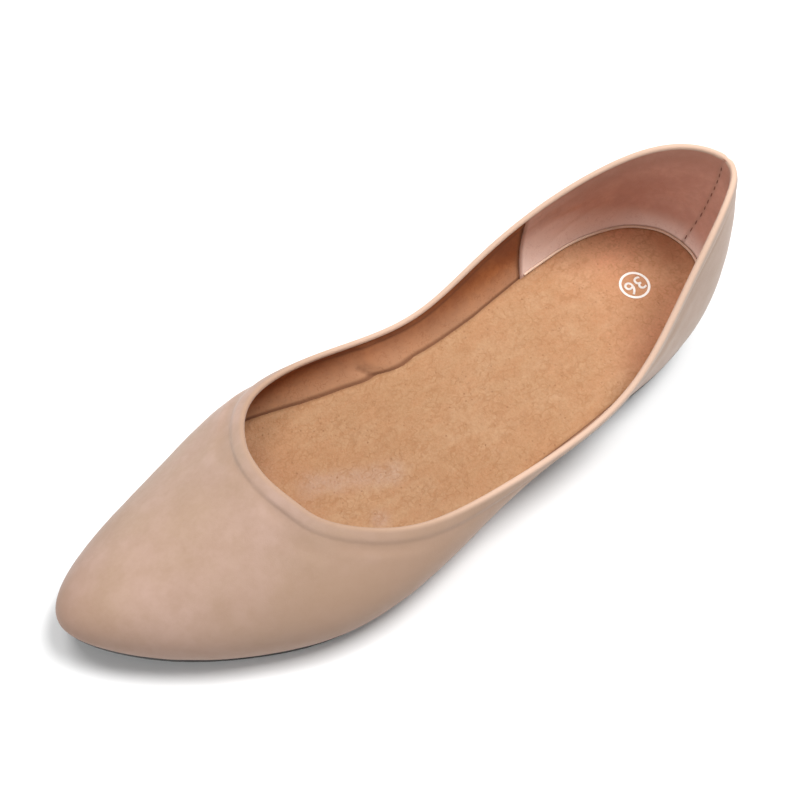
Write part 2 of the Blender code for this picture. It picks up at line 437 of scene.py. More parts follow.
class Groups:
    """Shader node groups that several finishes share."""

    @staticmethod
    def _new(name: str, inputs: dict[str, float], outputs: Iterable[str]) -> tuple[Any, Any, Any]:
        """Start a group with a Vector and the named inputs and outputs.

        Args:
            name: The group's name.
            inputs: The other inputs' names, with what each is by default.
            outputs: The outputs' names.

        Returns:
            The node tree, the values given to it and the sockets for its results.
        """
        tree = bpy.data.node_groups.new(name, "ShaderNodeTree")
        tree.interface.new_socket("Vector", in_out="INPUT", socket_type="NodeSocketVector")
        for label, default in inputs.items():
            socket = tree.interface.new_socket(label, in_out="INPUT", socket_type="NodeSocketFloat")
            socket.default_value = default
        for label in outputs:
            tree.interface.new_socket(label, in_out="OUTPUT", socket_type="NodeSocketFloat")
        given, result = tree.nodes.new("NodeGroupInput"), tree.nodes.new("NodeGroupOutput")
        return tree, given.outputs, result.inputs

    @staticmethod
    def _feed(tree: bpy.types.NodeTree, value: Any, socket: Any) -> None:
        """Set a socket to a number, or link another node's output to it.

        Args:
            tree: The node tree.
            value: A number or an output.
            socket: The input.
        """
        if isinstance(value, (int, float)):
            socket.default_value = value
        else:
            tree.links.new(value, socket)

    @staticmethod
    def _noise(tree: bpy.types.NodeTree, vector: Any, scale: Any, detail: float, rough: float) -> Any:
        """Add a noise texture.

        Args:
            tree: The node tree.
            vector: The coordinates.
            scale: Its scale, a number or an output.
            detail: How many finer layers it has.
            rough: How strong they are.

        Returns:
            The noise, from 0 to 1.
        """
        node = tree.nodes.new("ShaderNodeTexNoise")
        node.inputs["Detail"].default_value = detail
        node.inputs["Roughness"].default_value = rough
        tree.links.new(vector, node.inputs["Vector"])
        Groups._feed(tree, scale, node.inputs["Scale"])
        return node.outputs["Fac"]

    @staticmethod
    def _math(tree: bpy.types.NodeTree, operation: str, first: Any, second: Any) -> Any:
        """Add a math node.

        Args:
            tree: The node tree.
            operation: Blender's name of the sum.
            first: A number or an output.
            second: The other one.

        Returns:
            The result.
        """
        node = tree.nodes.new("ShaderNodeMath")
        node.operation = operation
        for socket, value in zip(node.inputs, (first, second)):
            Groups._feed(tree, value, socket)
        return node.outputs[0]

    @staticmethod
    def _range(tree: bpy.types.NodeTree, value: Any, low: Any, high: Any) -> Any:
        """Stretch a value softly, so that low becomes 0 and high becomes 1.

        Args:
            tree: The node tree.
            value: The output to stretch.
            low: A number or an output.
            high: The other one. It may be the smaller.

        Returns:
            The stretched value.
        """
        node = tree.nodes.new("ShaderNodeMapRange")
        node.interpolation_type = "SMOOTHSTEP"
        tree.links.new(value, node.inputs["Value"])
        Groups._feed(tree, low, node.inputs["From Min"])
        Groups._feed(tree, high, node.inputs["From Max"])
        return node.outputs["Result"]

    @classmethod
    def mottle(cls) -> bpy.types.NodeTree:
        """Cloudy colour of a dyed hide, in patches and in finer flecks.

        Returns:
            The group, with masks of its patches and flecks.
        """
        inputs = {"Patch Scale": 40.0, "Fleck Scale": 240.0}
        tree, given, result = cls._new("dye_mottle", inputs, ("Patches", "Flecks"))
        patches = cls._noise(tree, given["Vector"], given["Patch Scale"], 3.0, 0.55)
        flecks = cls._noise(tree, given["Vector"], given["Fleck Scale"], 4.0, 0.6)
        tree.links.new(cls._range(tree, patches, 0.34, 0.66), result["Patches"])
        tree.links.new(cls._range(tree, flecks, 0.34, 0.66), result["Flecks"])
        return tree

    @classmethod
    def nap(cls) -> bpy.types.NodeTree:
        """Raised fibres of nubuck or suede: fine fuzz over soft brushing.

        Returns:
            The group, with the height of the fibres.
        """
        inputs = {"Fuzz Scale": 2600.0, "Brush Scale": 420.0, "Brush Share": 0.5}
        tree, given, result = cls._new("nap", inputs, ("Height",))
        fuzz = cls._noise(tree, given["Vector"], given["Fuzz Scale"], 2.0, 0.7)
        brush = cls._noise(tree, given["Vector"], given["Brush Scale"], 4.0, 0.6)
        shared = cls._math(tree, "MULTIPLY", brush, given["Brush Share"])
        tree.links.new(cls._math(tree, "ADD", fuzz, shared), result["Height"])
        return tree

    @classmethod
    def pores(cls) -> bpy.types.NodeTree:
        """Hair pores of a hide: small pits, crowded in some places.

        Returns:
            The group, with a mask of the pits.
        """
        inputs = {"Scale": 620.0, "Size": 0.22, "Crowding": 0.5}
        tree, given, result = cls._new("pores", inputs, ("Mask",))
        cells = tree.nodes.new("ShaderNodeTexVoronoi")
        cells.feature = "F1"
        cells.inputs["Randomness"].default_value = 0.9
        tree.links.new(given["Vector"], cells.inputs["Vector"])
        tree.links.new(given["Scale"], cells.inputs["Scale"])
        pit = cls._range(tree, cells.outputs["Distance"], given["Size"], 0.02)
        crowd = cls._noise(tree, given["Vector"], 150.0, 2.0, 0.5)
        kept = cls._range(tree, crowd, given["Crowding"], 0.68)
        tree.links.new(cls._math(tree, "MULTIPLY", pit, kept), result["Mask"])
        return tree

    @classmethod
    def grain(cls) -> bpy.types.NodeTree:
        """Fine creases of a hide: short wandering lines.

        Returns:
            The group, with a mask of the lines.
        """
        tree, given, result = cls._new("hide_grain", {"Scale": 500.0, "Width": 0.05}, ("Lines",))
        level = cls._noise(tree, given["Vector"], given["Scale"], 1.5, 0.5)
        beside = cls._math(tree, "ABSOLUTE", cls._math(tree, "SUBTRACT", level, 0.5), 0.0)
        lines = cls._range(tree, beside, given["Width"], 0.0)
        wide = cls._math(tree, "MULTIPLY", given["Scale"], 0.55)
        kept = cls._range(tree, cls._noise(tree, given["Vector"], wide, 2.0, 0.5), 0.44, 0.56)
        tree.links.new(cls._math(tree, "MULTIPLY", lines, kept), result["Lines"])
        return tree

    @classmethod
    def build(cls) -> dict[str, bpy.types.NodeTree]:
        """Build every group once."""
        return {"mottle": cls.mottle(), "nap": cls.nap(), "pores": cls.pores(), "grain": cls.grain()}


Colour = tuple[float, float, float]


class Palette:
    """Node wiring that each finish uses for its own material."""

    def __init__(self, name: str, groups: dict[str, bpy.types.NodeTree]) -> None:
        """Start a material with its shader and the piece's own coordinates.

        Args:
            name: The material's name.
            groups: The shared node groups by name.
        """
        self.material = bpy.data.materials.new(name)
        self.material.use_nodes = True
        self.tree = self.material.node_tree
        self.groups = groups
        self.shader = self.tree.nodes["Principled BSDF"]
        self.place = self.tree.nodes.new("ShaderNodeTexCoord").outputs["Object"]

    def stretched(self, scale: tuple[float, float, float]) -> Any:
        """Draw the coordinates out along the axes, for brushed patterns.

        Args:
            scale: A factor for each axis, under 1 where the pattern is longer.

        Returns:
            The stretched coordinates.
        """
        node = self.tree.nodes.new("ShaderNodeMapping")
        node.inputs["Scale"].default_value = scale
        self.tree.links.new(self.place, node.inputs["Vector"])
        return node.outputs["Vector"]

    def group(self, key: str, vector: Any | None = None, **values: float) -> Any:
        """Place a shared group with its own values.

        Args:
            key: The group's name.
            vector: Its coordinates, or None for the piece's own.
            **values: Its inputs in small letters.

        Returns:
            The group's outputs.
        """
        node = self.tree.nodes.new("ShaderNodeGroup")
        node.node_tree = self.groups[key]
        self.tree.links.new(self.place if vector is None else vector, node.inputs["Vector"])
        for label, value in values.items():
            node.inputs[label.replace("_", " ").title()].default_value = value
        return node.outputs

    def attribute(self, name: str, low: float, high: float) -> Any:
        """Make a mask from a number painted on the piece.

        Args:
            name: The painted number's name.
            low: Where the mask is 0.
            high: Where it is 1.

        Returns:
            The mask.
        """
        node = self.tree.nodes.new("ShaderNodeAttribute")
        node.attribute_name = name
        return Groups._range(self.tree, node.outputs["Fac"], low, high)

    def mix(self, mask: Any, first: Any, second: Any, share: float = 1.0) -> Any:
        """Blend two colours by a mask.

        Args:
            mask: Where the second colour lies.
            first: A colour or an output.
            second: The other one.
            share: How far the second covers the first where the mask is 1.

        Returns:
            The blended colour.
        """
        node = self.tree.nodes.new("ShaderNodeMix")
        node.data_type = "RGBA"
        amount = Groups._math(self.tree, "MULTIPLY", mask, share)
        self.tree.links.new(amount, node.inputs["Factor"])
        for label, value in (("A", first), ("B", second)):
            socket = [s for s in node.inputs if s.name == label and s.type == "RGBA"][0]
            if isinstance(value, tuple):
                socket.default_value = (*value, 1.0)
            else:
                self.tree.links.new(value, socket)
        return [s for s in node.outputs if s.type == "RGBA"][0]

    def layers(self, colour: Any, *coats: tuple[Any, Any, float]) -> None:
        """Lay coats over a first colour, in order, and dye the surface with them.

        Args:
            colour: The first colour.
            *coats: Each coat's mask, its colour and how far it covers.
        """
        for mask, coat, share in coats:
            colour = self.mix(mask, colour, coat, share)
        self.tree.links.new(colour, self.shader.inputs["Base Color"])

    def both(self, first: Any, second: Any) -> Any:
        """Keep a mask only where another one is."""
        return Groups._math(self.tree, "MULTIPLY", first, second)

    def sum(self, first: Any, second: Any, weight: float) -> Any:
        """Add a weighted value to another."""
        return Groups._math(self.tree, "ADD", first, Groups._math(self.tree, "MULTIPLY", second, weight))

    def roughness(self, mask: Any, low: float, high: float) -> None:
        """Let the roughness follow a mask.

        Args:
            mask: The mask.
            low: The roughness where it is 0.
            high: The roughness where it is 1.
        """
        node = self.tree.nodes.new("ShaderNodeMapRange")
        node.inputs["To Min"].default_value = low
        node.inputs["To Max"].default_value = high
        self.tree.links.new(mask, node.inputs["Value"])
        self.tree.links.new(node.outputs["Result"], self.shader.inputs["Roughness"])

    def bump(self, height: Any, strength: float, distance: float) -> None:
        """Raise the surface by a height.

        Args:
            height: The height's pattern.
            strength: How strongly it shows.
            distance: Its full height.
        """
        node = self.tree.nodes.new("ShaderNodeBump")
        node.inputs["Strength"].default_value = strength
        node.inputs["Distance"].default_value = distance
        self.tree.links.new(height, node.inputs["Height"])
        self.tree.links.new(node.outputs["Normal"], self.shader.inputs["Normal"])

    def fixed(self, specular: float, sheen: float = 0.0, sheen_roughness: float = 0.5) -> None:
        """Set the shader's own sockets that are the same all over.

        Args:
            specular: Specular level.
            sheen: Weight of the sheen.
            sheen_roughness: Roughness of the sheen.
        """
        self.shader.inputs["Specular IOR Level"].default_value = specular
        self.shader.inputs["Sheen Weight"].default_value = sheen
        self.shader.inputs["Sheen Roughness"].default_value = sheen_roughness


@dataclass(frozen=True)
class Finish:
    """One material of the shoe."""

    name: str

    def material(self, groups: dict[str, bpy.types.NodeTree]) -> bpy.types.Material:
        """Build the material.

        Args:
            groups: The shared node groups by name.

        Returns:
            The material.
        """
        look = Palette(self.name, groups)
        self.wire(look)
        return look.material

    def wire(self, look: Palette) -> None:
        """Wire the finish's own nodes."""
        raise NotImplementedError


@dataclass(frozen=True)
class Nubuck(Finish):
    """Pale pink beige nubuck of the upper, with a creamier folded edge that also carries a painted
    highlight.
    """

    name: str = "nude_nubuck"
    base: Colour = (0.425, 0.286, 0.203)
    rosy: Colour = (0.475, 0.318, 0.255)
    # tan is also laid on as painted shade on the outer side and in the folds
    tan: Colour = (0.345, 0.220, 0.147)
    grey: Colour = (0.390, 0.290, 0.230)
    # the folded edge: its own creamier colour with a painted highlight, dimmer at the throat's front
    edge: Colour = (0.700, 0.480, 0.360)
    front_edge: Colour = (0.450, 0.287, 0.195)
    # painted shade low over the sole
    low: Colour = (0.270, 0.150, 0.100)

    def wire(self, look: Palette) -> None:
        """Dye it in soft clouds and greyer behind, with browner painted shade low over the sole and deeper
        in front, a browner tone with painted shade on the outer side, painted shade in the folds, and a
        painted highlight on the folded edge.

        Args:
            look: The material to wire.
        """
        dye = look.group("mottle", patch_scale=38.0, fleck_scale=230.0)
        drawn = look.stretched((1.0, 0.7, 1.0))
        cloud = look.group("mottle", vector=drawn, patch_scale=95.0, fleck_scale=900.0)
        fore = look.attribute("rear", 0.030, -0.030)
        # painted highlight with the edge's creamier colour along the topline, dimmer in front
        edge = look.mix(look.attribute("rear", -0.045, 0.015), self.front_edge, self.edge)
        look.layers(
            self.base,
            (dye["Patches"], self.rosy, 0.85),
            (cloud["Patches"], self.tan, 0.30),
            (dye["Flecks"], self.tan, 0.22),
            (cloud["Flecks"], self.rosy, 0.18),
            # darker tan on the outer side in front: partly its own browner tone, partly painted shade
            (look.both(look.attribute("lateral", 0.006, 0.042), fore), self.tan, 0.80),
            (look.attribute("rear", 0.020, 0.085), self.grey, 0.55),
            # painted shade low over the sole, reaching higher in front
            (look.both(look.attribute("over_sole", 0.021, 0.002), fore), self.low, 0.72),
            (look.attribute("over_sole", 0.009, 0.001), self.low, 0.42),
            # painted shade in the groove under the folded edge and in the creases
            (look.attribute("fold", 0.15, 1.0), self.tan, 0.35),
            (look.attribute("from_rim", 0.0022, 0.0008), edge, 0.85))
        nap = look.group("nap", fuzz_scale=2400.0, brush_scale=380.0, brush_share=0.9)
        look.roughness(dye["Flecks"], 0.72, 0.86)
        look.bump(nap["Height"], 0.35, 0.00012)
        look.fixed(specular=0.3, sheen=0.22)


@dataclass(frozen=True)
class Suede(Finish):
    """Brushed suede of a lining, with painted light low down and painted shade under its topline, at its
    joints and in its folds.
    """

    base: Colour
    shade: Colour
    low: Colour             # painted light over the insole
    joint: Colour           # painted shade in the joint with the insole, and in the folds
    top: Colour             # painted shade under the topline
    front: Colour           # painted shade at the pocket's front edge
    low_share: float
    top_share: float
    front_share: float

    def wire(self, look: Palette) -> None:
        """Brush it, with creases and pores, and lay painted light on it low down and painted shade toward
        its edges.

        Args:
            look: The material to wire.
        """
        dye = look.group("mottle", patch_scale=70.0, fleck_scale=420.0)
        grain = look.group("grain", scale=620.0, width=0.045)
        pores = look.group("pores", scale=900.0, size=0.26, crowding=0.30)
        look.layers(
            self.base,
            (dye["Patches"], self.shade, 0.60),
            (dye["Flecks"], self.shade, 0.40),
            # painted light low over the insole
            (look.attribute("painted_light_low", 0.0, 1.0), self.low, self.low_share),
            (grain["Lines"], self.shade, 0.25),
            (pores["Mask"], self.shade, 0.35),
            # painted shade under the topline, in the folds and seam, at the pocket's front edge and in the
            # joint with the insole
            (look.attribute("from_rim", 0.014, 0.003), self.top, self.top_share),
            (look.attribute("fold", 0.1, 1.0), self.joint, 0.50),
            (look.attribute("from_front", 0.0018, 0.0003), self.front, self.front_share),
            (look.attribute("over_insole", 0.0013, 0.0003), self.joint, 0.75))
        nap = look.group("nap", fuzz_scale=2200.0, brush_scale=600.0, brush_share=0.7)
        look.roughness(dye["Flecks"], 0.82, 0.95)
        look.bump(look.sum(nap["Height"], grain["Lines"], -0.5), 0.4, 0.00013)
        look.fixed(specular=0.2, sheen=0.05, sheen_roughness=0.6)


@dataclass(frozen=True)
class Pigskin(Finish):
    """Tan pigskin of the insole: creased, porous, redder at the heel and brightened there by painted light.
    """

    name: str = "tan_pigskin_sock"
    base: Colour = (0.425, 0.226, 0.108)
    pale: Colour = (0.505, 0.300, 0.168)
    shade: Colour = (0.330, 0.150, 0.060)
    orange: Colour = (0.420, 0.190, 0.082)
    # red brightens the shaded heel seat: painted light laid with the heel's own redness
    red: Colour = (0.880, 0.350, 0.215)
    throat: Colour = (0.380, 0.155, 0.085)
    smudge: Colour = (0.470, 0.315, 0.250)
    pore: Colour = (0.200, 0.080, 0.030)
    # painted shade along the edge, where it meets the linings
    rim: Colour = (0.250, 0.110, 0.045)

    def wire(self, look: Palette) -> None:
        """Mottle it in three sizes, then lay on the heel's redness with its painted light, the throat's
        painted shade, the smudges, the creases, the pores and the painted shade at the edge.

        Args:
            look: The material to wire.
        """
        dye = look.group("mottle", patch_scale=60.0, fleck_scale=360.0)
        along = look.stretched((1.0, 0.45, 1.0))
        brushed = look.group("mottle", vector=along, patch_scale=190.0, fleck_scale=820.0)
        grain = look.group("grain", vector=look.stretched((1.0, 0.8, 1.0)), scale=400.0, width=0.085)
        speckle = look.group("mottle", patch_scale=1050.0, fleck_scale=1700.0)
        pores = look.group("pores", scale=560.0, size=0.27, crowding=0.40)
        look.layers(
            self.base,
            (dye["Patches"], self.pale, 0.80),
            (brushed["Patches"], self.orange, 0.62),
            (dye["Flecks"], self.shade, 0.36),
            (brushed["Flecks"], self.pale, 0.30),
            # the heel's redness, with painted light where the heel seat lies in shade
            (look.attribute("heel_wear_and_light", 0.0, 1.0), self.red, 0.85),
            (look.attribute("throat_shade", 0.0, 1.0), self.throat, 0.42),
            (look.attribute("smudge", 0.0, 1.0), self.smudge, 0.50),
            (speckle["Patches"], self.shade, 0.30),
            (speckle["Flecks"], self.pale, 0.25),
            (grain["Lines"], self.shade, 0.40),
            (pores["Mask"], self.pore, 0.60),
            # painted shade along the edge, where it meets the linings
            (look.attribute("from_edge", 0.0013, 0.0), self.rim, 0.55))
        nap = look.group("nap", fuzz_scale=1900.0, brush_scale=520.0, brush_share=0.8)
        look.roughness(brushed["Flecks"], 0.68, 0.85)
        relief = look.sum(look.sum(nap["Height"], grain["Lines"], -0.5), speckle["Patches"], -0.5)
        look.bump(look.sum(relief, pores["Mask"], -1.2), 0.5, 0.00018)
        look.fixed(specular=0.3, sheen=0.10)


@dataclass(frozen=True)
class Rubber(Finish):
    """Matte black rubber of the sole and heel, a little dusty."""

    name: str = "black_sole_rubber"
    base: Colour = (0.020, 0.019, 0.018)
    dust: Colour = (0.075, 0.068, 0.062)

    def wire(self, look: Palette) -> None:
        """Dust it and give it the mould's fine grain.

        Args:
            look: The material to wire.
        """
        dye = look.group("mottle", patch_scale=90.0, fleck_scale=900.0)
        look.layers(self.base, (dye["Patches"], self.dust, 0.35), (dye["Flecks"], self.dust, 0.30))
        look.roughness(dye["Flecks"], 0.55, 0.75)
        grain = look.group("nap", fuzz_scale=1500.0, brush_scale=300.0, brush_share=0.3)
        look.bump(grain["Height"], 0.2, 0.0001)
        look.fixed(specular=0.4)


@dataclass(frozen=True)
class Trim(Finish):
    """Print, thread or binding: one dye, a little worn in flecks."""

    base: Colour
    worn: Colour

    def wire(self, look: Palette) -> None:
        """Fleck the dye with its worn colour.

        Args:
            look: The material to wire.
        """
        dye = look.group("mottle", patch_scale=500.0, fleck_scale=1500.0)
        look.layers(self.base, (dye["Flecks"], self.worn, 0.5))
        look.roughness(dye["Patches"], 0.5, 0.7)
        nap = look.group("nap", fuzz_scale=2600.0, brush_scale=900.0, brush_share=0.5)
        look.bump(nap["Height"], 0.2, 0.00006)
        look.fixed(specular=0.35)


# in each lining, low is painted light; joint, top and front are painted shade
TAN_SUEDE = Suede(
    name="tan_suede_lining", base=(0.400, 0.126, 0.032), shade=(0.220, 0.058, 0.015),
    low=(0.590, 0.352, 0.212), joint=(0.160, 0.058, 0.026), top=(0.210, 0.066, 0.027),
    front=(0.150, 0.055, 0.020), low_share=0.58, top_share=0.45, front_share=0.80)
MAUVE_SUEDE = Suede(
    name="mauve_heel_lining", base=(0.690, 0.395, 0.310), shade=(0.560, 0.300, 0.230),
    low=(0.930, 0.735, 0.655), joint=(0.480, 0.290, 0.225), top=(0.480, 0.240, 0.175),
    front=(0.330, 0.150, 0.100), low_share=0.95, top_share=0.55, front_share=0.70)
WHITE_PRINT = Trim(name="white_print", base=(0.88, 0.86, 0.83), worn=(0.74, 0.68, 0.60))
MAUVE_THREAD = Trim(name="mauve_thread", base=(0.22, 0.10, 0.075), worn=(0.30, 0.15, 0.11))
CREAM_EDGE = Trim(name="cream_edge", base=(0.80, 0.60, 0.46), worn=(0.70, 0.48, 0.36))


@dataclass(frozen=True)
class Crease:
    """A shallow fold that runs along the topline."""

    round_rim: float        # middle of the fold: share of the way round the rim
    reach: float            # share of the rim that it fades over
    from_rim: float         # distance under the rim
    width: float
    depth: float

    RIDGE = 0.4             # height of the ridge beside it, as a share of its depth
    BESIDE = 1.6            # and how far under it that lies, in widths

    def along(self, round_rim: np.ndarray) -> np.ndarray:
        """Tell how much of the fold there is at places round the rim."""
        return hump(round_rim - self.round_rim, self.reach)

    def press(self, from_rim: np.ndarray, round_rim: np.ndarray) -> np.ndarray:
        """Work out how far the fold lifts or sinks the leather.

        Args:
            from_rim: Distance of each place from the topline.
            round_rim: And its share of the way round the rim.

        Returns:
            The rise, under 0 in the fold and over 0 on its ridge.
        """
        across = from_rim - self.from_rim
        ridge = self.RIDGE * hump(across - self.BESIDE * self.width, self.width)
        return self.depth * self.along(round_rim) * (ridge - hump(across, self.width))


@dataclass(frozen=True)
class PocketFold:
    """A soft hollow that runs across the heel pocket."""

    lean: float             # how far it rises for each metre toward the heel
    height: float           # over the floor, where it crosses the middle of the heel seat
    width: float
    depth: float

    SEAT = 0.090            # middle of the heel seat, along the shoe
    FRONT = 0.070           # where the fold starts
    FADE = 0.015            # and the length over which it deepens
    WAVE = 0.004            # how far it swings up and down on its way round
    SWING = 0.006

    def press(self, places: np.ndarray) -> np.ndarray:
        """Work out how deep the fold is.

        Args:
            places: Rows of X, Y, Z.

        Returns:
            The depth at each place.
        """
        wave = self.WAVE * np.sin(places[:, 0] / self.SWING)
        across = places[:, 2] - self.height - self.lean * (places[:, 1] - self.SEAT) - wave
        return self.depth * hump(across, self.width) * ramp(places[:, 1], self.FRONT, self.FADE)


@dataclass
class Shell:
    """The upper's wall as read from the CAD node, and measures on it."""

    wall: bpy.types.Object
    rim: Rim
    feather: HeightLine
    insole_top: HeightLine

    OUTSIDE = "outside"
    HOLLOW = (-0.095, 0.100)        # stretch of the shoe's length where its hollow is open
    MIDDLE = (-0.002, 0.006)        # the hollow's middle: across the shoe, and over the insole
    UNDERSIDE = -0.9                # a row of faces that all look down by more than this is the last

    @classmethod
    def of(cls, nodes: dict[str, bpy.types.Object]) -> "Shell":
        """Read the CAD upper, insole and outsole.

        Args:
            nodes: The frame's nodes by name.

        Returns:
            The shell, with its outer faces marked.
        """
        wall = Bench.quads(nodes["upper"], "wall_pattern")
        insole = Bench.quads(nodes["insole"], "insole_pattern")
        outsole = Bench.quads(nodes["outsole"], "outsole_pattern")
        shell = cls(wall, Rim.of(wall), HeightLine.of(outsole), HeightLine.of(insole))
        bpy.data.objects.remove(insole)
        bpy.data.objects.remove(outsole)
        shell.mark_outside()
        return shell

    def mark_outside(self) -> None:
        """Walk from the rim down the outer side, row by row, and mark its faces."""
        mesh = self.wall.data
        middles, normals = Bench.faces(self.wall)
        along = np.clip(middles[:, 1], *self.HOLLOW)
        across, over = self.MIDDLE
        cavity = np.column_stack([np.full(len(along), across), along, self.insole_top.at(along) + over])
        facing = np.sum(normals * (middles - cavity), axis=1)
        beside: dict[tuple[int, int], list[int]] = {}
        for face in mesh.polygons:
            for edge in face.edge_keys:
                beside.setdefault(edge, []).append(face.index)
        outside = np.zeros(len(mesh.polygons), bool)
        front = [tuple(sorted(edge)) for edge in self.rim.edges]
        row = [max(beside[edge], key=lambda face: facing[face]) for edge in front]
        while True:
            outside[row] = True
            if normals[row, 2].max() < self.UNDERSIDE:
                break
            front = [
                next(edge for edge in mesh.polygons[face].edge_keys if not set(edge) & set(entered))
                for face, entered in zip(row, front)]
            row = [next(face for face in beside[edge] if face != old) for edge, old in zip(front, row)]
        layer = mesh.attributes.new(self.OUTSIDE, "BOOLEAN", "FACE")
        layer.data.foreach_set("value", outside)

    def outside(self, piece: bpy.types.Object) -> np.ndarray:
        """Tell which faces of a copy of the wall lie on its outer side.

        Args:
            piece: The copy, not yet cut.

        Returns:
            One boolean for each face.
        """
        marks = np.empty(len(piece.data.polygons), bool)
        piece.data.attributes[self.OUTSIDE].data.foreach_get("value", marks)
        return marks

    def from_rim(self, places: np.ndarray) -> np.ndarray:
        """Measure how far places are from the topline."""
        return self.rim.measure(places)[0]

    def over_sole(self, places: np.ndarray) -> np.ndarray:
        """Measure how high places lie over the outsole."""
        return places[:, 2] - self.feather.at(places[:, 1])

    def over_insole(self, places: np.ndarray) -> np.ndarray:
        """Measure how high places lie over the insole."""
        return places[:, 2] - self.insole_top.at(places[:, 1])


@dataclass
class LeatherUpper:
    """The nubuck outside, folded over the topline and lasted under."""

    shell: Shell
    thickness: float = 0.0009
    turn_in: float = 0.0013         # how far it turns in over the topline
    fold_line: float = 0.0050       # where the folded edge ends, under the topline
    groove: float = 0.00036
    groove_width: float = 0.0009
    groove_shade: float = 0.0011    # width of the line's painted shade
    seam_depth: float = 0.00030
    seam_width: float = 0.00075
    seam_behind: float = 0.080      # the back seam is looked for behind this
    seam_clear: float = 0.001       # where it ends, over the sole
    seam_fade: float = 0.003        # height over which it fades there
    lips_apart: float = 0.0022      # from the seam to the lip on each side
    lips_width: float = 0.0010
    unevenness: float = 0.00022
    swell: float = 0.017            # size of the soft swells
    pucker: float = 0.006           # and of the finer ones
    taut: float = 0.010             # it is drawn tight for this far from the topline
    creases: tuple[Crease, ...] = (
        Crease(0.335, 0.030, 0.0068, 0.0016, 0.00045),
        Crease(0.372, 0.022, 0.0088, 0.0020, 0.00035),
        Crease(0.400, 0.030, 0.0062, 0.0013, 0.00040),
        Crease(0.560, 0.045, 0.0064, 0.0017, 0.00050),
        Crease(0.610, 0.030, 0.0092, 0.0022, 0.00035),
        Crease(0.660, 0.030, 0.0066, 0.0014, 0.00040),
        Crease(0.160, 0.035, 0.0075, 0.0018, 0.00025),
        Crease(0.850, 0.035, 0.0075, 0.0018, 0.00025),
    )

    def build(self, look: bpy.types.Material) -> bpy.types.Object:
        """Cut the outer face from the wall, sculpt it and give it thickness.

        Args:
            look: The leather's finish.

        Returns:
            The leather upper.
        """
        piece = Bench.copy(self.shell.wall, "upper_leather")
        middles, _ = Bench.faces(piece)
        inside = ~self.shell.outside(piece)
        Bench.cut_away(piece, inside & (self.shell.from_rim(middles) > self.turn_in))
        Bench.subdivide(piece, 2)
        self.sculpt(piece)
        Bench.thicken(piece, self.thickness)
        self.mark(piece)
        Bench.smooth(piece, 60.0)
        Bench.finish(piece, look, Slot.LEATHER)
        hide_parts("upper")
        return piece

    def sculpt(self, piece: bpy.types.Object) -> None:
        """Press in the fold's edge, the creases and the back seam.

        Args:
            piece: The leather.
        """
        places, normals = Bench.places(piece), Bench.normals(piece)
        from_rim, round_rim = self.shell.rim.measure(places)
        rise = -self.groove * hump(from_rim - self.fold_line, self.groove_width)
        for crease in self.creases:
            rise += crease.press(from_rim, round_rim)
        loose = self.unevenness * np.maximum(ramp(from_rim, 0.0, self.taut), 0.15)
        rise += loose * ripple(places, self.swell, 3.0)
        rise += 0.35 * loose * ripple(places, self.pucker, 7.0)
        beside = abs(places[:, 0] - self.shell.rim.points[0, 0])
        seam = hump(beside, self.seam_width) - 0.4 * hump(beside - self.lips_apart, self.lips_width)
        sewn = ramp(self.shell.over_sole(places), self.seam_clear, self.seam_fade)
        sewn *= (places[:, 1] > self.seam_behind) * (0.5 + 0.5 * ramp(from_rim, 0.0, 0.002))
        rise -= self.seam_depth * sewn * seam
        Bench.move_to(piece, places + normals * rise[:, None])

    def mark(self, piece: bpy.types.Object) -> None:
        """Paint the folds, for their painted shade, and the places that the finish lays its painted shade
        and highlight by.

        Args:
            piece: The leather.
        """
        places = Bench.places(piece)
        from_rim, round_rim = self.shell.rim.measure(places)
        # painted shade in the groove and the creases
        fold = 0.6 * hump(from_rim - self.fold_line, self.groove_shade)
        for crease in self.creases:
            fold += crease.along(round_rim) * hump(from_rim - crease.from_rim, crease.width)
        Bench.paint(piece, "from_rim", from_rim)
        Bench.paint(piece, "fold", fold)
        Bench.paint(piece, "over_sole", self.shell.over_sole(places))
        Bench.paint(piece, "lateral", places[:, 0])
        Bench.paint(piece, "rear", places[:, 1])


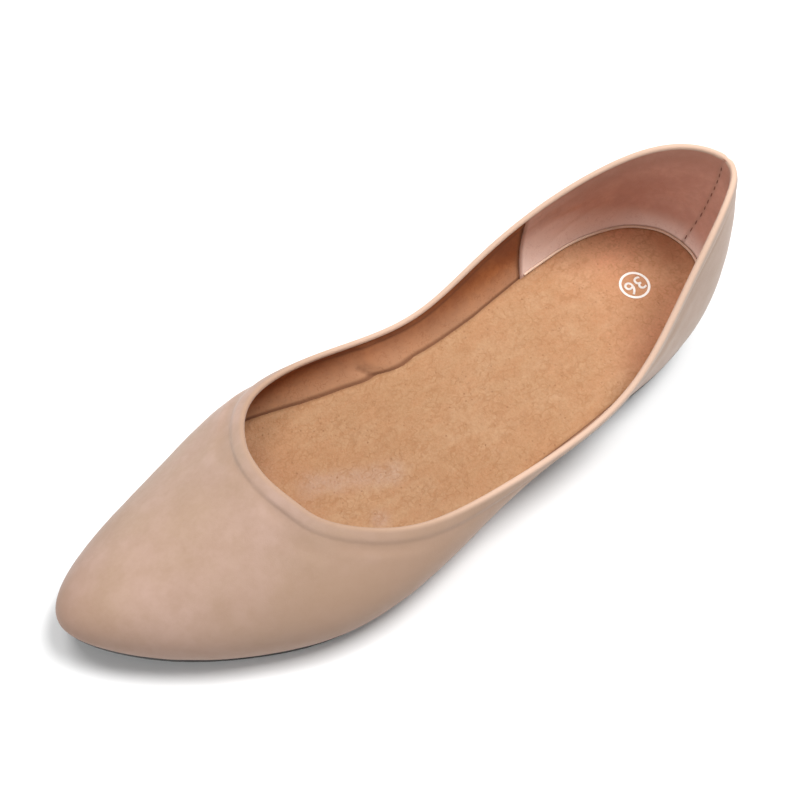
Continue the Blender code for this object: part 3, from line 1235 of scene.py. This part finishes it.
@dataclass
class Linings:
    """The tan quarter lining and the mauve heel pocket laid over it."""

    shell: Shell
    thickness: float = 0.0005
    under_rim: float = 0.0011
    lip: float = 0.0020             # how far the leather reaches in over the lining
    tuck: float = 0.00014           # how far the lining's edge lies under it
    loose: float = 0.004            # the lining lies close to the wall for this far from its edge
    foot: float = 0.001             # how far it runs down behind the insole's edge
    unevenness: float = 0.00020
    swell: float = 0.012            # size of the quarter lining's soft swells
    pucker: float = 0.004           # and of its finer ones
    pocket_foot: float = 0.0625     # the pocket's front edge at the insole
    pocket_lean: float = 0.10       # how far it leans back for each metre up
    pocket_rise: float = 0.0005
    pocket_unevenness: float = 0.00016
    pocket_swell: float = 0.010
    pocket_folds: tuple[PocketFold, ...] = (
        PocketFold(-0.30, 0.030, 0.0030, 0.00035),
        PocketFold(0.15, 0.034, 0.0022, 0.00030),
        PocketFold(0.42, 0.027, 0.0018, 0.00025),
    )
    overlap: float = 0.004          # how far the quarter lining runs on under the pocket
    wrinkle: tuple[tuple[float, float, float], ...] = (
        (-0.0350, -0.0010, 0.0180), (-0.0318, -0.0018, 0.0130),
        (-0.0290, 0.0012, 0.0105), (-0.0240, 0.0070, 0.0100))
    wrinkle_depth: float = 0.0007
    wrinkle_width: float = 0.0011
    wrinkle_shade: float = 0.0010
    wrinkle_lips: tuple[tuple[float, float, float], ...] = (    # place beside it, width, share of its depth
        (0.0040, 0.0034, 1.0), (-0.0040, 0.0030, 0.3))
    strip_line: float = 0.0038      # lower edge of the strip turned in under the rim
    strip_width: float = 0.0006
    strip_groove: float = 0.00030
    strip_end: tuple[float, float] = (0.006, 0.022)     # behind the pocket's edge it fades from, and over
    seam_lean: float = 0.07         # how far the pocket's back seam moves inward for each metre down
    seam_groove: float = 0.00035
    seam_width: float = 0.0007
    seam_shade: float = 0.0008
    seam_behind: float = 0.080
    # painted light low on the linings, where light reaches them over the insole
    painted_light_low: float = 0.009         # how far up the quarter lining has painted light
    painted_light_pocket: float = 0.027      # and the pocket at its front edge
    pale_lost: float = 0.72         # share of that which is gone at the heel
    pale_fade: float = 0.055        # length over which it goes
    pale_soft: float = 0.002
    stitch_count: int = 11
    stitch_size: tuple[float, float, float] = (0.00022, 0.00022, 0.0011)
    stitch_clear: tuple[float, float] = (0.003, 0.006)  # over the insole and under the topline
    stitch_back: float = 0.115      # where the insole's height is read for them
    binding_radius: float = 0.00045
    binding_lift: float = 0.00035
    binding_clear: float = 0.0004   # from the pocket to the binding's middle
    binding_start: float = 0.0010   # behind the pocket's front edge
    binding_turn: tuple[float, float] = (-40.0, 220.0)  # degrees round the heel seat
    binding_knots: int = 66
    seat: tuple[float, float] = (-0.002, 0.086)

    def cut(self, name: str) -> bpy.types.Object:
        """Cut the wall's inner face, from under the rim down to the insole.

        Args:
            name: The lining's name.

        Returns:
            The face, rounded.
        """
        piece = Bench.copy(self.shell.wall, name)
        middles, normals = Bench.faces(piece)
        turned_in = (self.shell.over_insole(middles) < -self.foot) & (abs(normals[:, 2]) > 0.8)
        above = self.shell.from_rim(middles) < self.under_rim
        Bench.cut_away(piece, self.shell.outside(piece) | turned_in | above)
        Bench.subdivide(piece, 2)
        return piece

    def build_quarter(self, look: bpy.types.Material) -> bpy.types.Object:
        """Make the lining of the vamp and quarters.

        Args:
            look: Its finish.

        Returns:
            The lining.
        """
        piece = self.cut("quarter_lining")
        middles, _ = Bench.faces(piece)
        Bench.cut_away(piece, self.behind_pocket_edge(middles) > self.overlap)
        places = Bench.places(piece)
        beside, share = self.beside_wrinkle(places)
        rise = self.unevenness * (ripple(places, self.swell, 5.0) + 0.3 * ripple(places, self.pucker, 15.0))
        rise -= (1.2 - 0.8 * share) * self.wrinkle_depth * hump(beside, self.wrinkle_width)
        for aside, width, part in self.wrinkle_lips:
            rise += part * self.wrinkle_depth * hump(beside - aside, width)
        rise -= self.strip_groove * self.strip_edge(places)
        self.lay(piece, rise)
        self.dress(piece, look, self.painted_light_low, 0.0)
        return piece

    def build_pocket(self, look: bpy.types.Material) -> bpy.types.Object:
        """Make the heel pocket, proud of the quarter lining.

        Args:
            look: Its finish.

        Returns:
            The pocket.
        """
        piece = self.cut("heel_pocket")
        Bench.edit_all(piece)
        bpy.ops.mesh.bisect(
            plane_co=(0.0, self.pocket_foot, self.shell.insole_top.at(self.pocket_foot)),
            plane_no=(0.0, 1.0, -self.pocket_lean), clear_inner=True)
        bpy.ops.object.mode_set(mode="OBJECT")
        places = Bench.places(piece)
        rise = self.pocket_rise + self.pocket_unevenness * ripple(places, self.pocket_swell, 9.0)
        for fold in self.pocket_folds:
            rise -= fold.press(places)
        rise -= self.seam_groove * self.seam(places, self.seam_width) * ramp(
            self.shell.from_rim(places), 0.0, self.loose)
        rise -= 0.6 * self.strip_groove * self.strip_edge(places)
        self.lay(piece, rise)
        self.dress(piece, look, self.painted_light_pocket, self.pale_lost)
        return piece

    def lay(self, piece: bpy.types.Object, rise: np.ndarray) -> None:
        """Lift a lining from the wall, with its top edge evenly under the leather's lip.

        Args:
            piece: The lining.
            rise: How far each vertex stands out where the lining is free.
        """
        places, normals = Bench.places(piece), Bench.normals(piece)
        from_rim = self.shell.from_rim(places)
        rise = rise * ramp(from_rim, self.under_rim, self.loose)
        rise -= self.tuck * (1.0 - ramp(from_rim, self.lip, 0.001))
        Bench.move_to(piece, places + normals * rise[:, None])
        Bench.thicken(piece, self.thickness)

    def dress(self, piece: bpy.types.Object, look: bpy.types.Material, pale: float, lost: float) -> None:
        """Paint what a lining's painted light and shade follow, and finish it.

        Args:
            piece: The lining.
            look: Its finish.
            pale: How far up from the insole its painted light reaches in front.
            lost: Share of that which is gone at the heel.
        """
        places = Bench.places(piece)
        beside, _ = self.beside_wrinkle(places)
        # painted shade in the wrinkle, along the strip's lower edge and down the seam
        folds = np.maximum.reduce([
            hump(beside, self.wrinkle_shade), 0.9 * self.strip_edge(places),
            self.seam(places, self.seam_shade)])
        over = self.shell.over_insole(places)
        # painted light low down, reaching less far toward the heel
        lost_here = lost * ramp(places[:, 1], self.pocket_foot, self.pale_fade)
        pale_height = pale * (1.0 - lost_here) + self.pale_soft
        # the places that the painted shade follows: folds, the pocket's front edge, the topline and the
        # joint with the insole
        Bench.paint(piece, "fold", folds)
        Bench.paint(piece, "from_front", abs(self.behind_pocket_edge(places)))
        Bench.paint(piece, "from_rim", self.shell.from_rim(places))
        Bench.paint(piece, "over_insole", over)
        Bench.paint(piece, "painted_light_low", 1.0 - np.clip(over / pale_height, 0.0, 1.0))
        Bench.smooth(piece, 60.0)
        Bench.finish(piece, look, Slot.PIGSKIN)

    def strip_edge(self, places: np.ndarray) -> np.ndarray:
        """Mask the lower edge of the strip under the rim, gone toward the heel."""
        kept = 1.0 - ramp(self.behind_pocket_edge(places), *self.strip_end)
        return kept * hump(self.shell.from_rim(places) - self.strip_line, self.strip_width)

    def behind_pocket_edge(self, places: np.ndarray) -> np.ndarray:
        """Measure how far places lie behind the pocket's slanted front edge."""
        lean = self.pocket_lean * (places[:, 2] - self.shell.insole_top.at(self.pocket_foot))
        return places[:, 1] - self.pocket_foot - lean

    def seam(self, places: np.ndarray, width: float) -> np.ndarray:
        """Mask the pocket's back seam, fading over the width to each side."""
        beside = places[:, 0] - self.seam_across(places[:, 2])
        return hump(beside, width) * (places[:, 1] > self.seam_behind)

    def seam_across(self, height: float | np.ndarray) -> float | np.ndarray:
        """Tell where the pocket's back seam lies across the shoe at a height."""
        return self.shell.rim.points[0, 0] - self.seam_lean * (self.shell.rim.points[0, 2] - height)

    def beside_wrinkle(self, places: np.ndarray) -> tuple[np.ndarray, np.ndarray]:
        """Measure places from the fold that runs down the inner waist.

        Args:
            places: Points on the lining.

        Returns:
            Signed distance from the fold, over 0 behind it, and the share of its length, 0 at the rim.
        """
        line = np.array(self.wrinkle)
        best = np.full(len(places), 1.0)
        signed, share = best.copy(), np.zeros(len(places))
        for number, (start, end) in enumerate(zip(line, line[1:])):
            along, offset = beside_line(places, start, end)
            far = np.linalg.norm(offset, axis=1)
            near = far < best
            best[near] = far[near]
            signed[near] = (far * np.sign(offset[:, 1] + offset[:, 2]))[near]
            share[near] = ((number + along) / (len(line) - 1))[near]
        return signed, share

    def build_stitches(self, pocket: bpy.types.Object, look: bpy.types.Material) -> bpy.types.Object:
        """Sew the pocket's back seam: small stitches down its middle.

        Args:
            pocket: The heel pocket that they lie on.
            look: The thread's finish.

        Returns:
            All the stitches as one piece.
        """
        surface = BVHTree.FromObject(pocket, bpy.context.evaluated_depsgraph_get())
        foot = float(self.shell.insole_top.at(self.stitch_back)) + self.stitch_clear[0]
        top = float(self.shell.rim.points[0, 2]) - self.stitch_clear[1]
        stitches = []
        for height in np.linspace(foot, top, self.stitch_count):
            across = float(self.seam_across(height))
            start = Vector((across, self.seam_behind, height))
            place, normal, _, _ = surface.ray_cast(start, Vector((0.0, 1.0, 0.0)))
            bpy.ops.object.select_all(action="DESELECT")
            bpy.ops.mesh.primitive_uv_sphere_add(segments=10, ring_count=8, radius=1.0, location=place)
            stitch = bpy.context.object
            stitch.scale = self.stitch_size
            stitch.rotation_mode = "QUATERNION"
            stitch.rotation_quaternion = Vector((0.0, -1.0, 0.0)).rotation_difference(normal)
            stitches.append(stitch)
        piece = Bench.join(stitches, "pocket_seam_stitches")
        Bench.smooth(piece)
        Bench.finish(piece, look, Slot.PIGSKIN)
        return piece

    def build_binding(self, pocket: bpy.types.Object, look: bpy.types.Material) -> bpy.types.Object:
        """Lay the thin cream edge between the pocket and the insole.

        Args:
            pocket: The heel pocket that it follows.
            look: Its finish.

        Returns:
            The edge as a tube.
        """
        surface = BVHTree.FromObject(pocket, bpy.context.evaluated_depsgraph_get())
        seat_height = float(self.shell.insole_top.at(self.seat[1]))
        centre = Vector((*self.seat, seat_height + self.binding_clear))
        points = []
        for angle in np.radians(np.linspace(*self.binding_turn, self.binding_knots)):
            place, normal, _, _ = surface.ray_cast(centre, Vector((math.cos(angle), math.sin(angle), 0.0)))
            if place is not None and place.y > self.pocket_foot + self.binding_start:
                place.z = float(self.shell.insole_top.at(place.y)) + self.binding_lift
                points.append(place + Vector((normal.x, normal.y, 0.0)) * self.binding_clear)
        curve = bpy.data.curves.new("pocket_binding", "CURVE")
        curve.dimensions = "3D"
        curve.bevel_depth = self.binding_radius
        curve.bevel_resolution = 3
        curve.use_fill_caps = True
        spline = curve.splines.new("NURBS")
        spline.points.add(len(points) - 1)
        for knot, place in zip(spline.points, points):
            knot.co = (*place, 1.0)
        spline.use_endpoint_u = True
        spline.order_u = 4
        piece = bpy.data.objects.new("pocket_binding", curve)
        bpy.context.scene.collection.objects.link(piece)
        Bench.only(piece)
        bpy.ops.object.convert(target="MESH")
        Bench.smooth(piece)
        Bench.finish(piece, look, Slot.PIGSKIN)
        return piece


@dataclass
class InsoleSock:
    """The covered insole with its rounded edge and printed size."""

    shell: Shell
    reach: float = 0.0030           # how far its edge may move to meet the linings
    clearance: float = 0.0001
    edge_row: float = 0.0005
    cushion_row: float = 0.0040
    strip: float = 0.008            # width of the strips that its face is cut into
    half_width: float = 0.032
    steep: float = 0.97             # its edge is where faces look up by less than this
    upright: float = 0.5            # and its side where they do by less than this
    dish: float = 0.0007            # depth of the hollows
    hollows: tuple[tuple[float, float, float], ...] = (     # place along the shoe, reach, share of the depth
        (0.085, 0.035, 1.0), (-0.045, 0.045, 0.6))
    hollow_halves: tuple[float, float] = (0.030, 0.038)     # half their width behind the waist, before it
    waist: float = 0.020
    top: tuple[float, float] = (-0.0004, 0.0003)            # over the insole's top it sinks from, and over
    unevenness: float = 0.00014
    swell: float = 0.009
    # the heel seat's redness, with painted light that brightens it in shade
    wear_and_light_middle: float = -0.002
    wear_and_light_aside: tuple[float, float] = (0.010, 0.016)        # beside the middle the redness and painted light start from, and over
    wear_and_light_behind: tuple[float, float] = (0.058, 0.045)       # and along the shoe
    smudge: tuple[tuple[float, float], ...] = ((-0.0075, -0.0370), (0.0045, -0.0125))
    smudge_width: float = 0.0045
    blush: tuple[float, float] = (0.0150, -0.0255)
    blush_width: float = 0.0032
    throat: tuple[float, float] = (0.030, 0.016)            # before the middle it darkens from, and over
    print_middle: tuple[float, float] = (-0.0029, 0.0934)
    print_above: float = 0.002
    ring_radius: float = 0.0054
    ring_line: float = 0.00085
    digit_size: float = 0.0074
    digit_weight: float = 0.00005   # how much thicker their strokes are drawn
    digit_space: float = 1.05
    print_lift: float = 0.00006
    print_thick: float = 0.00008

    def build(
            self, node: bpy.types.Object, linings: list[bpy.types.Object],
            look: bpy.types.Material) -> bpy.types.Object:
        """Round the CAD insole's edge, fit it to the linings and dish its face.

        Args:
            node: The CAD insole.
            linings: The linings that its edge runs up to.
            look: Its finish.

        Returns:
            The finished insole.
        """
        piece = Bench.quads(node, "insole_sock")
        _, normals = Bench.faces(piece)
        Bench.pick_faces(piece, normals[:, 2] > LEVEL)
        bpy.ops.mesh.inset(thickness=self.edge_row, use_boundary=True)
        bpy.ops.mesh.inset(thickness=self.cushion_row, use_boundary=True)
        for across in np.arange(-self.half_width, self.half_width + self.strip / 2, self.strip):
            bpy.ops.mesh.bisect(plane_co=(across, 0.0, 0.0), plane_no=(1.0, 0.0, 0.0))
            bpy.ops.object.mode_set(mode="OBJECT")
            _, normals = Bench.faces(piece)
            Bench.pick_faces(piece, normals[:, 2] > LEVEL)
        bpy.ops.object.mode_set(mode="OBJECT")
        Bench.subdivide(piece, 2)
        self.fit(piece, linings)
        self.sculpt(piece)
        self.mark(piece)
        Bench.smooth(piece, 60.0)
        Bench.finish(piece, look, Slot.PIGSKIN)
        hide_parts("insole")
        return piece

    def fit(self, piece: bpy.types.Object, linings: list[bpy.types.Object]) -> None:
        """Push the edge out until it meets the linings.

        Args:
            piece: The insole.
            linings: What its edge runs up to.
        """
        graph = bpy.context.evaluated_depsgraph_get()
        walls = [BVHTree.FromObject(lining, graph) for lining in linings]
        places, normals = Bench.places(piece), Bench.normals(piece)
        for index in np.flatnonzero(abs(normals[:, 2]) < self.steep):
            out = Vector((normals[index, 0], normals[index, 1], 0.0)).normalized()
            start = Vector(places[index]) - out * self.reach
            hits = [wall.ray_cast(start, out, 2 * self.reach)[3] for wall in walls]
            hits = [hit for hit in hits if hit is not None]
            if hits:
                places[index] = start + out * (min(hits) - self.clearance)
        Bench.move_to(piece, places)

    def sculpt(self, piece: bpy.types.Object) -> None:
        """Sink the middle and leave the face softly uneven.

        Args:
            piece: The insole.
        """
        places = Bench.places(piece)
        top = ramp(self.shell.over_insole(places), *self.top)
        half = np.where(places[:, 1] > self.waist, *self.hollow_halves)
        middle = np.clip(1.0 - (places[:, 0] / half) ** 2, 0.0, 1.0)
        for along, reach, share in self.hollows:
            places[:, 2] -= top * self.dish * middle * share * hump(places[:, 1] - along, reach)
        places[:, 2] += top * self.unevenness * ripple(places, self.swell, 11.0)
        Bench.move_to(piece, places)

    def mark(self, piece: bpy.types.Object) -> None:
        """Paint the reddened heel with its painted light, the pale smudges at the ball, the throat's painted
        shade and the edge for its painted shade.

        Args:
            piece: The insole.
        """
        places, normals = Bench.places(piece), Bench.normals(piece)
        # the heel's redness with its painted light, strongest toward the outer side
        edge = ramp(abs(places[:, 0] - self.wear_and_light_middle), *self.wear_and_light_aside)
        side = 0.65 + 0.35 * np.tanh(places[:, 0] / 0.010)
        blotch = 0.5 + 0.5 * ripple(places, 0.014, 21.0)
        wear_and_light = ramp(places[:, 1], *self.wear_and_light_behind) * (0.35 + 0.65 * edge * side) * (0.5 + blotch)
        level = places[:, :2]
        _, beside = beside_line(level, *np.array(self.smudge))
        smudge = hump(np.linalg.norm(beside, axis=1), self.smudge_width)
        smudge *= 0.85 + 0.3 * ripple(places, 0.004, 31.0)
        smudge += 1.1 * hump(np.linalg.norm(level - np.array(self.blush), axis=1), self.blush_width)
        throat = ramp(-places[:, 1], *self.throat) * (0.75 + 0.5 * ripple(places, 0.008, 41.0))
        Bench.paint(piece, "heel_wear_and_light", np.clip(wear_and_light, 0.0, 1.0))
        Bench.paint(piece, "throat_shade", throat)
        Bench.paint(piece, "smudge", np.clip(smudge, 0.0, 1.0))
        rim = kdtree.KDTree(len(places))
        for index in np.flatnonzero(abs(normals[:, 2]) < self.upright):
            rim.insert(places[index], int(index))
        rim.balance()
        # distance from the edge, for the painted shade along it
        Bench.paint(piece, "from_edge", np.array([rim.find(place)[2] for place in places]))

    def build_print(self, sock: bpy.types.Object, look: bpy.types.Material) -> bpy.types.Object:
        """Print the plain size number in its ring on the heel seat.

        Args:
            sock: The insole that it lies on.
            look: The print's finish.

        Returns:
            The ring and digits as one thin piece.
        """
        height = float(self.shell.insole_top.at(self.print_middle[1])) + self.print_above
        bpy.ops.object.select_all(action="DESELECT")
        bpy.ops.mesh.primitive_circle_add(
            vertices=72, radius=self.ring_radius, fill_type="NGON", location=(*self.print_middle, height))
        ring = bpy.context.object
        bpy.ops.object.mode_set(mode="EDIT")
        bpy.ops.mesh.inset(thickness=self.ring_line)
        bpy.ops.mesh.delete(type="FACE")
        bpy.ops.object.mode_set(mode="OBJECT")
        bpy.ops.object.select_all(action="DESELECT")
        bpy.ops.object.text_add(location=(*self.print_middle, height), rotation=(0.0, 0.0, -math.pi / 2))
        digits = bpy.context.object
        digits.data.body = "36"
        digits.data.size = self.digit_size
        digits.data.align_x = "CENTER"
        digits.data.align_y = "CENTER"
        digits.data.offset = self.digit_weight
        digits.data.space_character = self.digit_space
        bpy.ops.object.convert(target="MESH")
        piece = Bench.join([ring, digits], "size_print")
        Bench.modify(piece, "TRIANGULATE")
        Bench.modify(
            piece, "SHRINKWRAP", target=sock, wrap_method="PROJECT", use_project_z=True,
            use_positive_direction=False, use_negative_direction=True, offset=self.print_lift)
        Bench.modify(piece, "SOLIDIFY", thickness=self.print_thick, offset=1.0)
        Bench.finish(piece, look, Slot.PIGSKIN)
        return piece


@dataclass
class Bottom:
    """The rubber outsole with its tread and the low heel lift."""

    tread_margin: float = 0.0045
    rib_pitch: float = 0.0036
    tread_depth: float = 0.0006
    tread_draft: float = 0.00015    # how far a groove's sides lean in
    fore_tread: tuple[float, float] = (-0.106, -0.010)
    heel_tread: tuple[float, float] = (0.064, 0.112)
    ground: float = -0.99           # faces that look down by more than this stand on the floor
    edge_round: float = 0.00030
    edge_angle: float = 50.0        # degrees an edge turns by at least, to be rounded
    top_piece: float = 0.0030       # height of the heel's top piece, up to the line round it
    line_width: float = 0.0004
    line_depth: float = 0.0003
    line_draft: float = 0.00005

    def cut_tread(self, piece: bpy.types.Object, reach: tuple[float, float]) -> None:
        """Cut grooves across the ground face, inside a plain margin.

        Args:
            piece: The sole or the heel.
            reach: Where the tread starts and ends along the shoe.
        """
        middles, normals = Bench.faces(piece)
        within = (middles[:, 1] > reach[0]) & (middles[:, 1] < reach[1])
        Bench.pick_faces(piece, (normals[:, 2] < -LEVEL) & within)
        bpy.ops.mesh.inset(thickness=self.tread_margin, use_even_offset=False)
        bpy.ops.mesh.hide(unselected=True)
        for along in np.arange(reach[0], reach[1], self.rib_pitch / 2):
            bpy.ops.mesh.select_all(action="SELECT")
            bpy.ops.mesh.bisect(plane_co=(0.0, along, 0.0), plane_no=(0.0, 1.0, 0.0))
        bpy.ops.object.mode_set(mode="OBJECT")
        inner = np.array([not face.hide for face in piece.data.polygons])
        middles, _ = Bench.faces(piece)
        band = np.floor((middles[:, 1] - reach[0]) / (self.rib_pitch / 2)).astype(int)
        Bench.pick_faces(piece, inner & (band % 2 == 1))
        bpy.ops.mesh.inset(thickness=self.tread_draft, depth=-self.tread_depth, use_even_offset=False)
        bpy.ops.mesh.reveal(select=False)
        bpy.ops.object.mode_set(mode="OBJECT")

    def build_sole(self, node: bpy.types.Object, look: bpy.types.Material) -> bpy.types.Object:
        """Cut ribs into the forefoot of the outsole.

        Args:
            node: The CAD outsole.
            look: The rubber.

        Returns:
            The outsole.
        """
        piece = Bench.quads(node, "rubber_outsole")
        self.cut_tread(piece, self.fore_tread)
        self.soften(piece, look, "outsole")
        return piece

    def build_heel(self, node: bpy.types.Object, look: bpy.types.Material) -> bpy.types.Object:
        """Cut the heel's tread and mark its top piece.

        Args:
            node: The CAD heel.
            look: The rubber.

        Returns:
            The heel lift.
        """
        piece = Bench.quads(node, "heel_lift")
        _, normals = Bench.faces(piece)
        Bench.pick_faces(piece, normals[:, 2] < self.ground)
        bpy.ops.mesh.dissolve_limited(angle_limit=math.radians(1.0))
        bpy.ops.object.mode_set(mode="OBJECT")
        self.cut_tread(piece, self.heel_tread)
        Bench.edit_all(piece)
        for height in (self.top_piece, self.top_piece + self.line_width):
            bpy.ops.mesh.select_all(action="SELECT")
            bpy.ops.mesh.bisect(plane_co=(0.0, 0.0, height), plane_no=(0.0, 0.0, 1.0))
        bpy.ops.object.mode_set(mode="OBJECT")
        middles, _ = Bench.faces(piece)
        line = (middles[:, 2] > self.top_piece) & (middles[:, 2] < self.top_piece + self.line_width)
        Bench.pick_faces(piece, line)
        bpy.ops.mesh.inset(thickness=self.line_draft, depth=-self.line_depth, use_even_offset=False)
        bpy.ops.object.mode_set(mode="OBJECT")
        self.soften(piece, look, "heel")
        return piece

    def soften(self, piece: bpy.types.Object, look: bpy.types.Material, node: str) -> None:
        """Round the moulded edges and finish a rubber piece.

        Args:
            piece: The sole or the heel.
            look: The rubber.
            node: The CAD node that it stands for.
        """
        Bench.modify(
            piece, "BEVEL", width=self.edge_round, segments=2, limit_method="ANGLE",
            angle_limit=math.radians(self.edge_angle), use_clamp_overlap=True)
        Bench.smooth(piece, self.edge_angle)
        Bench.finish(piece, look, Slot.RUBBER)
        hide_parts(node)


@dataclass(frozen=True)
class Lamp:
    """A soft square light that faces the shoe."""

    name: str
    place: tuple[float, float, float]
    size: float
    watts: float

    def hang(self, aim: Vector) -> None:
        """Hang the lamp in the scene.

        Args:
            aim: Where it faces.
        """
        data = bpy.data.lights.new(self.name, "AREA")
        data.energy = self.watts
        data.size = self.size
        lamp = bpy.data.objects.new(self.name, data)
        lamp.location = self.place
        lamp.rotation_mode = "QUATERNION"
        lamp.rotation_quaternion = (aim - Vector(self.place)).to_track_quat("-Z", "Y")
        bpy.context.scene.collection.objects.link(lamp)


@dataclass
class Studio:
    """Pale floor, soft light and the photograph's point of view."""

    camera_place: Vector = field(default_factory=lambda: Vector((0.1341, -0.1230, 0.3620)))
    photo_centre: Vector = field(default_factory=lambda: Vector((-0.0732, 0.0169, 0.0)))
    aim: Vector = field(default_factory=lambda: Vector((-0.012, 0.001, 0.018)))
    lens: float = 55.0
    sensor: float = 36.0
    nearest: float = 0.01           # the camera sees nothing that is nearer
    ambient: float = 0.26
    floor_size: float = 8.0
    floor_height: float = -0.0002   # just under the shoe
    floor_colour: Colour = (0.93, 0.93, 0.93)
    glow: tuple[float, float] = (0.20, 0.50)    # how far out the floor starts to look white, and does
    lamps: tuple[Lamp, ...] = (
        Lamp("key", (0.09, 0.48, 1.20), 0.50, 15.5),
        Lamp("over_toe", (-0.38, -0.05, 1.20), 0.45, 5.5),
        Lamp("front", (-0.10, -1.10, 0.45), 0.60, 3.8),
    )

    def build(self) -> None:
        """Set up the floor, lights, world and camera."""
        self.floor()
        for lamp in self.lamps:
            lamp.hang(self.aim)
        self.world()
        self.camera()

    def floor(self) -> None:
        """Lay a wide plain floor, seen as white away from the shoe."""
        bpy.ops.object.select_all(action="DESELECT")
        bpy.ops.mesh.primitive_plane_add(size=self.floor_size, location=(0.0, 0.0, self.floor_height))
        floor = bpy.context.object
        floor.name = "studio_floor"
        look = bpy.data.materials.new("pale_floor")
        look.use_nodes = True
        tree = look.node_tree
        shader = tree.nodes["Principled BSDF"]
        shader.inputs["Base Color"].default_value = (*self.floor_colour, 1.0)
        shader.inputs["Roughness"].default_value = 0.9
        shader.inputs["Specular IOR Level"].default_value = 0.1
        shader.inputs["Emission Color"].default_value = (1.0, 1.0, 1.0, 1.0)
        place = tree.nodes.new("ShaderNodeTexCoord").outputs["Object"]
        reach = tree.nodes.new("ShaderNodeVectorMath")
        reach.operation = "LENGTH"
        tree.links.new(place, reach.inputs[0])
        far = Groups._range(tree, reach.outputs["Value"], *self.glow)
        seen = tree.nodes.new("ShaderNodeLightPath").outputs["Is Camera Ray"]
        tree.links.new(Groups._math(tree, "MULTIPLY", far, seen), shader.inputs["Emission Strength"])
        floor.data.materials.append(look)

    def world(self) -> None:
        """Surround the scene with even light, seen as plain white."""
        world = bpy.data.worlds.new("studio")
        world.use_nodes = True
        tree = world.node_tree
        background = tree.nodes["Background"]
        background.inputs["Color"].default_value = (1.0, 1.0, 1.0, 1.0)
        seen = tree.nodes.new("ShaderNodeLightPath")
        strength = tree.nodes.new("ShaderNodeMapRange")
        strength.inputs["To Min"].default_value = self.ambient
        strength.inputs["To Max"].default_value = 1.0
        tree.links.new(seen.outputs["Is Camera Ray"], strength.inputs["Value"])
        tree.links.new(strength.outputs["Result"], background.inputs["Strength"])
        bpy.context.scene.world = world
        bpy.context.scene.view_settings.view_transform = "Standard"

    def camera(self) -> None:
        """Look from where the photograph was taken, turned onto the one shoe."""
        data = bpy.data.cameras.new("photo_view")
        data.lens = self.lens
        data.sensor_width = self.sensor
        data.clip_start = self.nearest
        camera = bpy.data.objects.new("photo_view", data)
        before = (self.photo_centre - self.camera_place).normalized()
        after = (self.aim - self.camera_place).normalized()
        camera.location = self.camera_place
        camera.rotation_mode = "QUATERNION"
        camera.rotation_quaternion = before.rotation_difference(after) @ before.to_track_quat("-Z", "Y")
        bpy.context.scene.collection.objects.link(camera)
        bpy.context.scene.camera = camera


def main() -> None:
    """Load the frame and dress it."""
    logging.basicConfig(level=logging.INFO, format="%(name)s: %(message)s")
    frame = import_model()
    nodes = frame["nodes"]
    groups = Groups.build()
    shell = Shell.of(nodes)
    linings = Linings(shell)
    sock = InsoleSock(shell)
    bottom = Bottom()
    rubber = Rubber().material(groups)
    mauve = MAUVE_SUEDE.material(groups)
    LeatherUpper(shell).build(Nubuck().material(groups))
    quarter = linings.build_quarter(TAN_SUEDE.material(groups))
    pocket = linings.build_pocket(mauve)
    linings.build_stitches(pocket, MAUVE_THREAD.material(groups))
    linings.build_binding(pocket, CREAM_EDGE.material(groups))
    insole = sock.build(nodes["insole"], [quarter, pocket], Pigskin().material(groups))
    sock.build_print(insole, WHITE_PRINT.material(groups))
    bottom.build_sole(nodes["outsole"], rubber)
    bottom.build_heel(nodes["heel"], rubber)
    bpy.data.objects.remove(shell.wall)
    Studio().build()


if __name__ == "__main__":
    main()
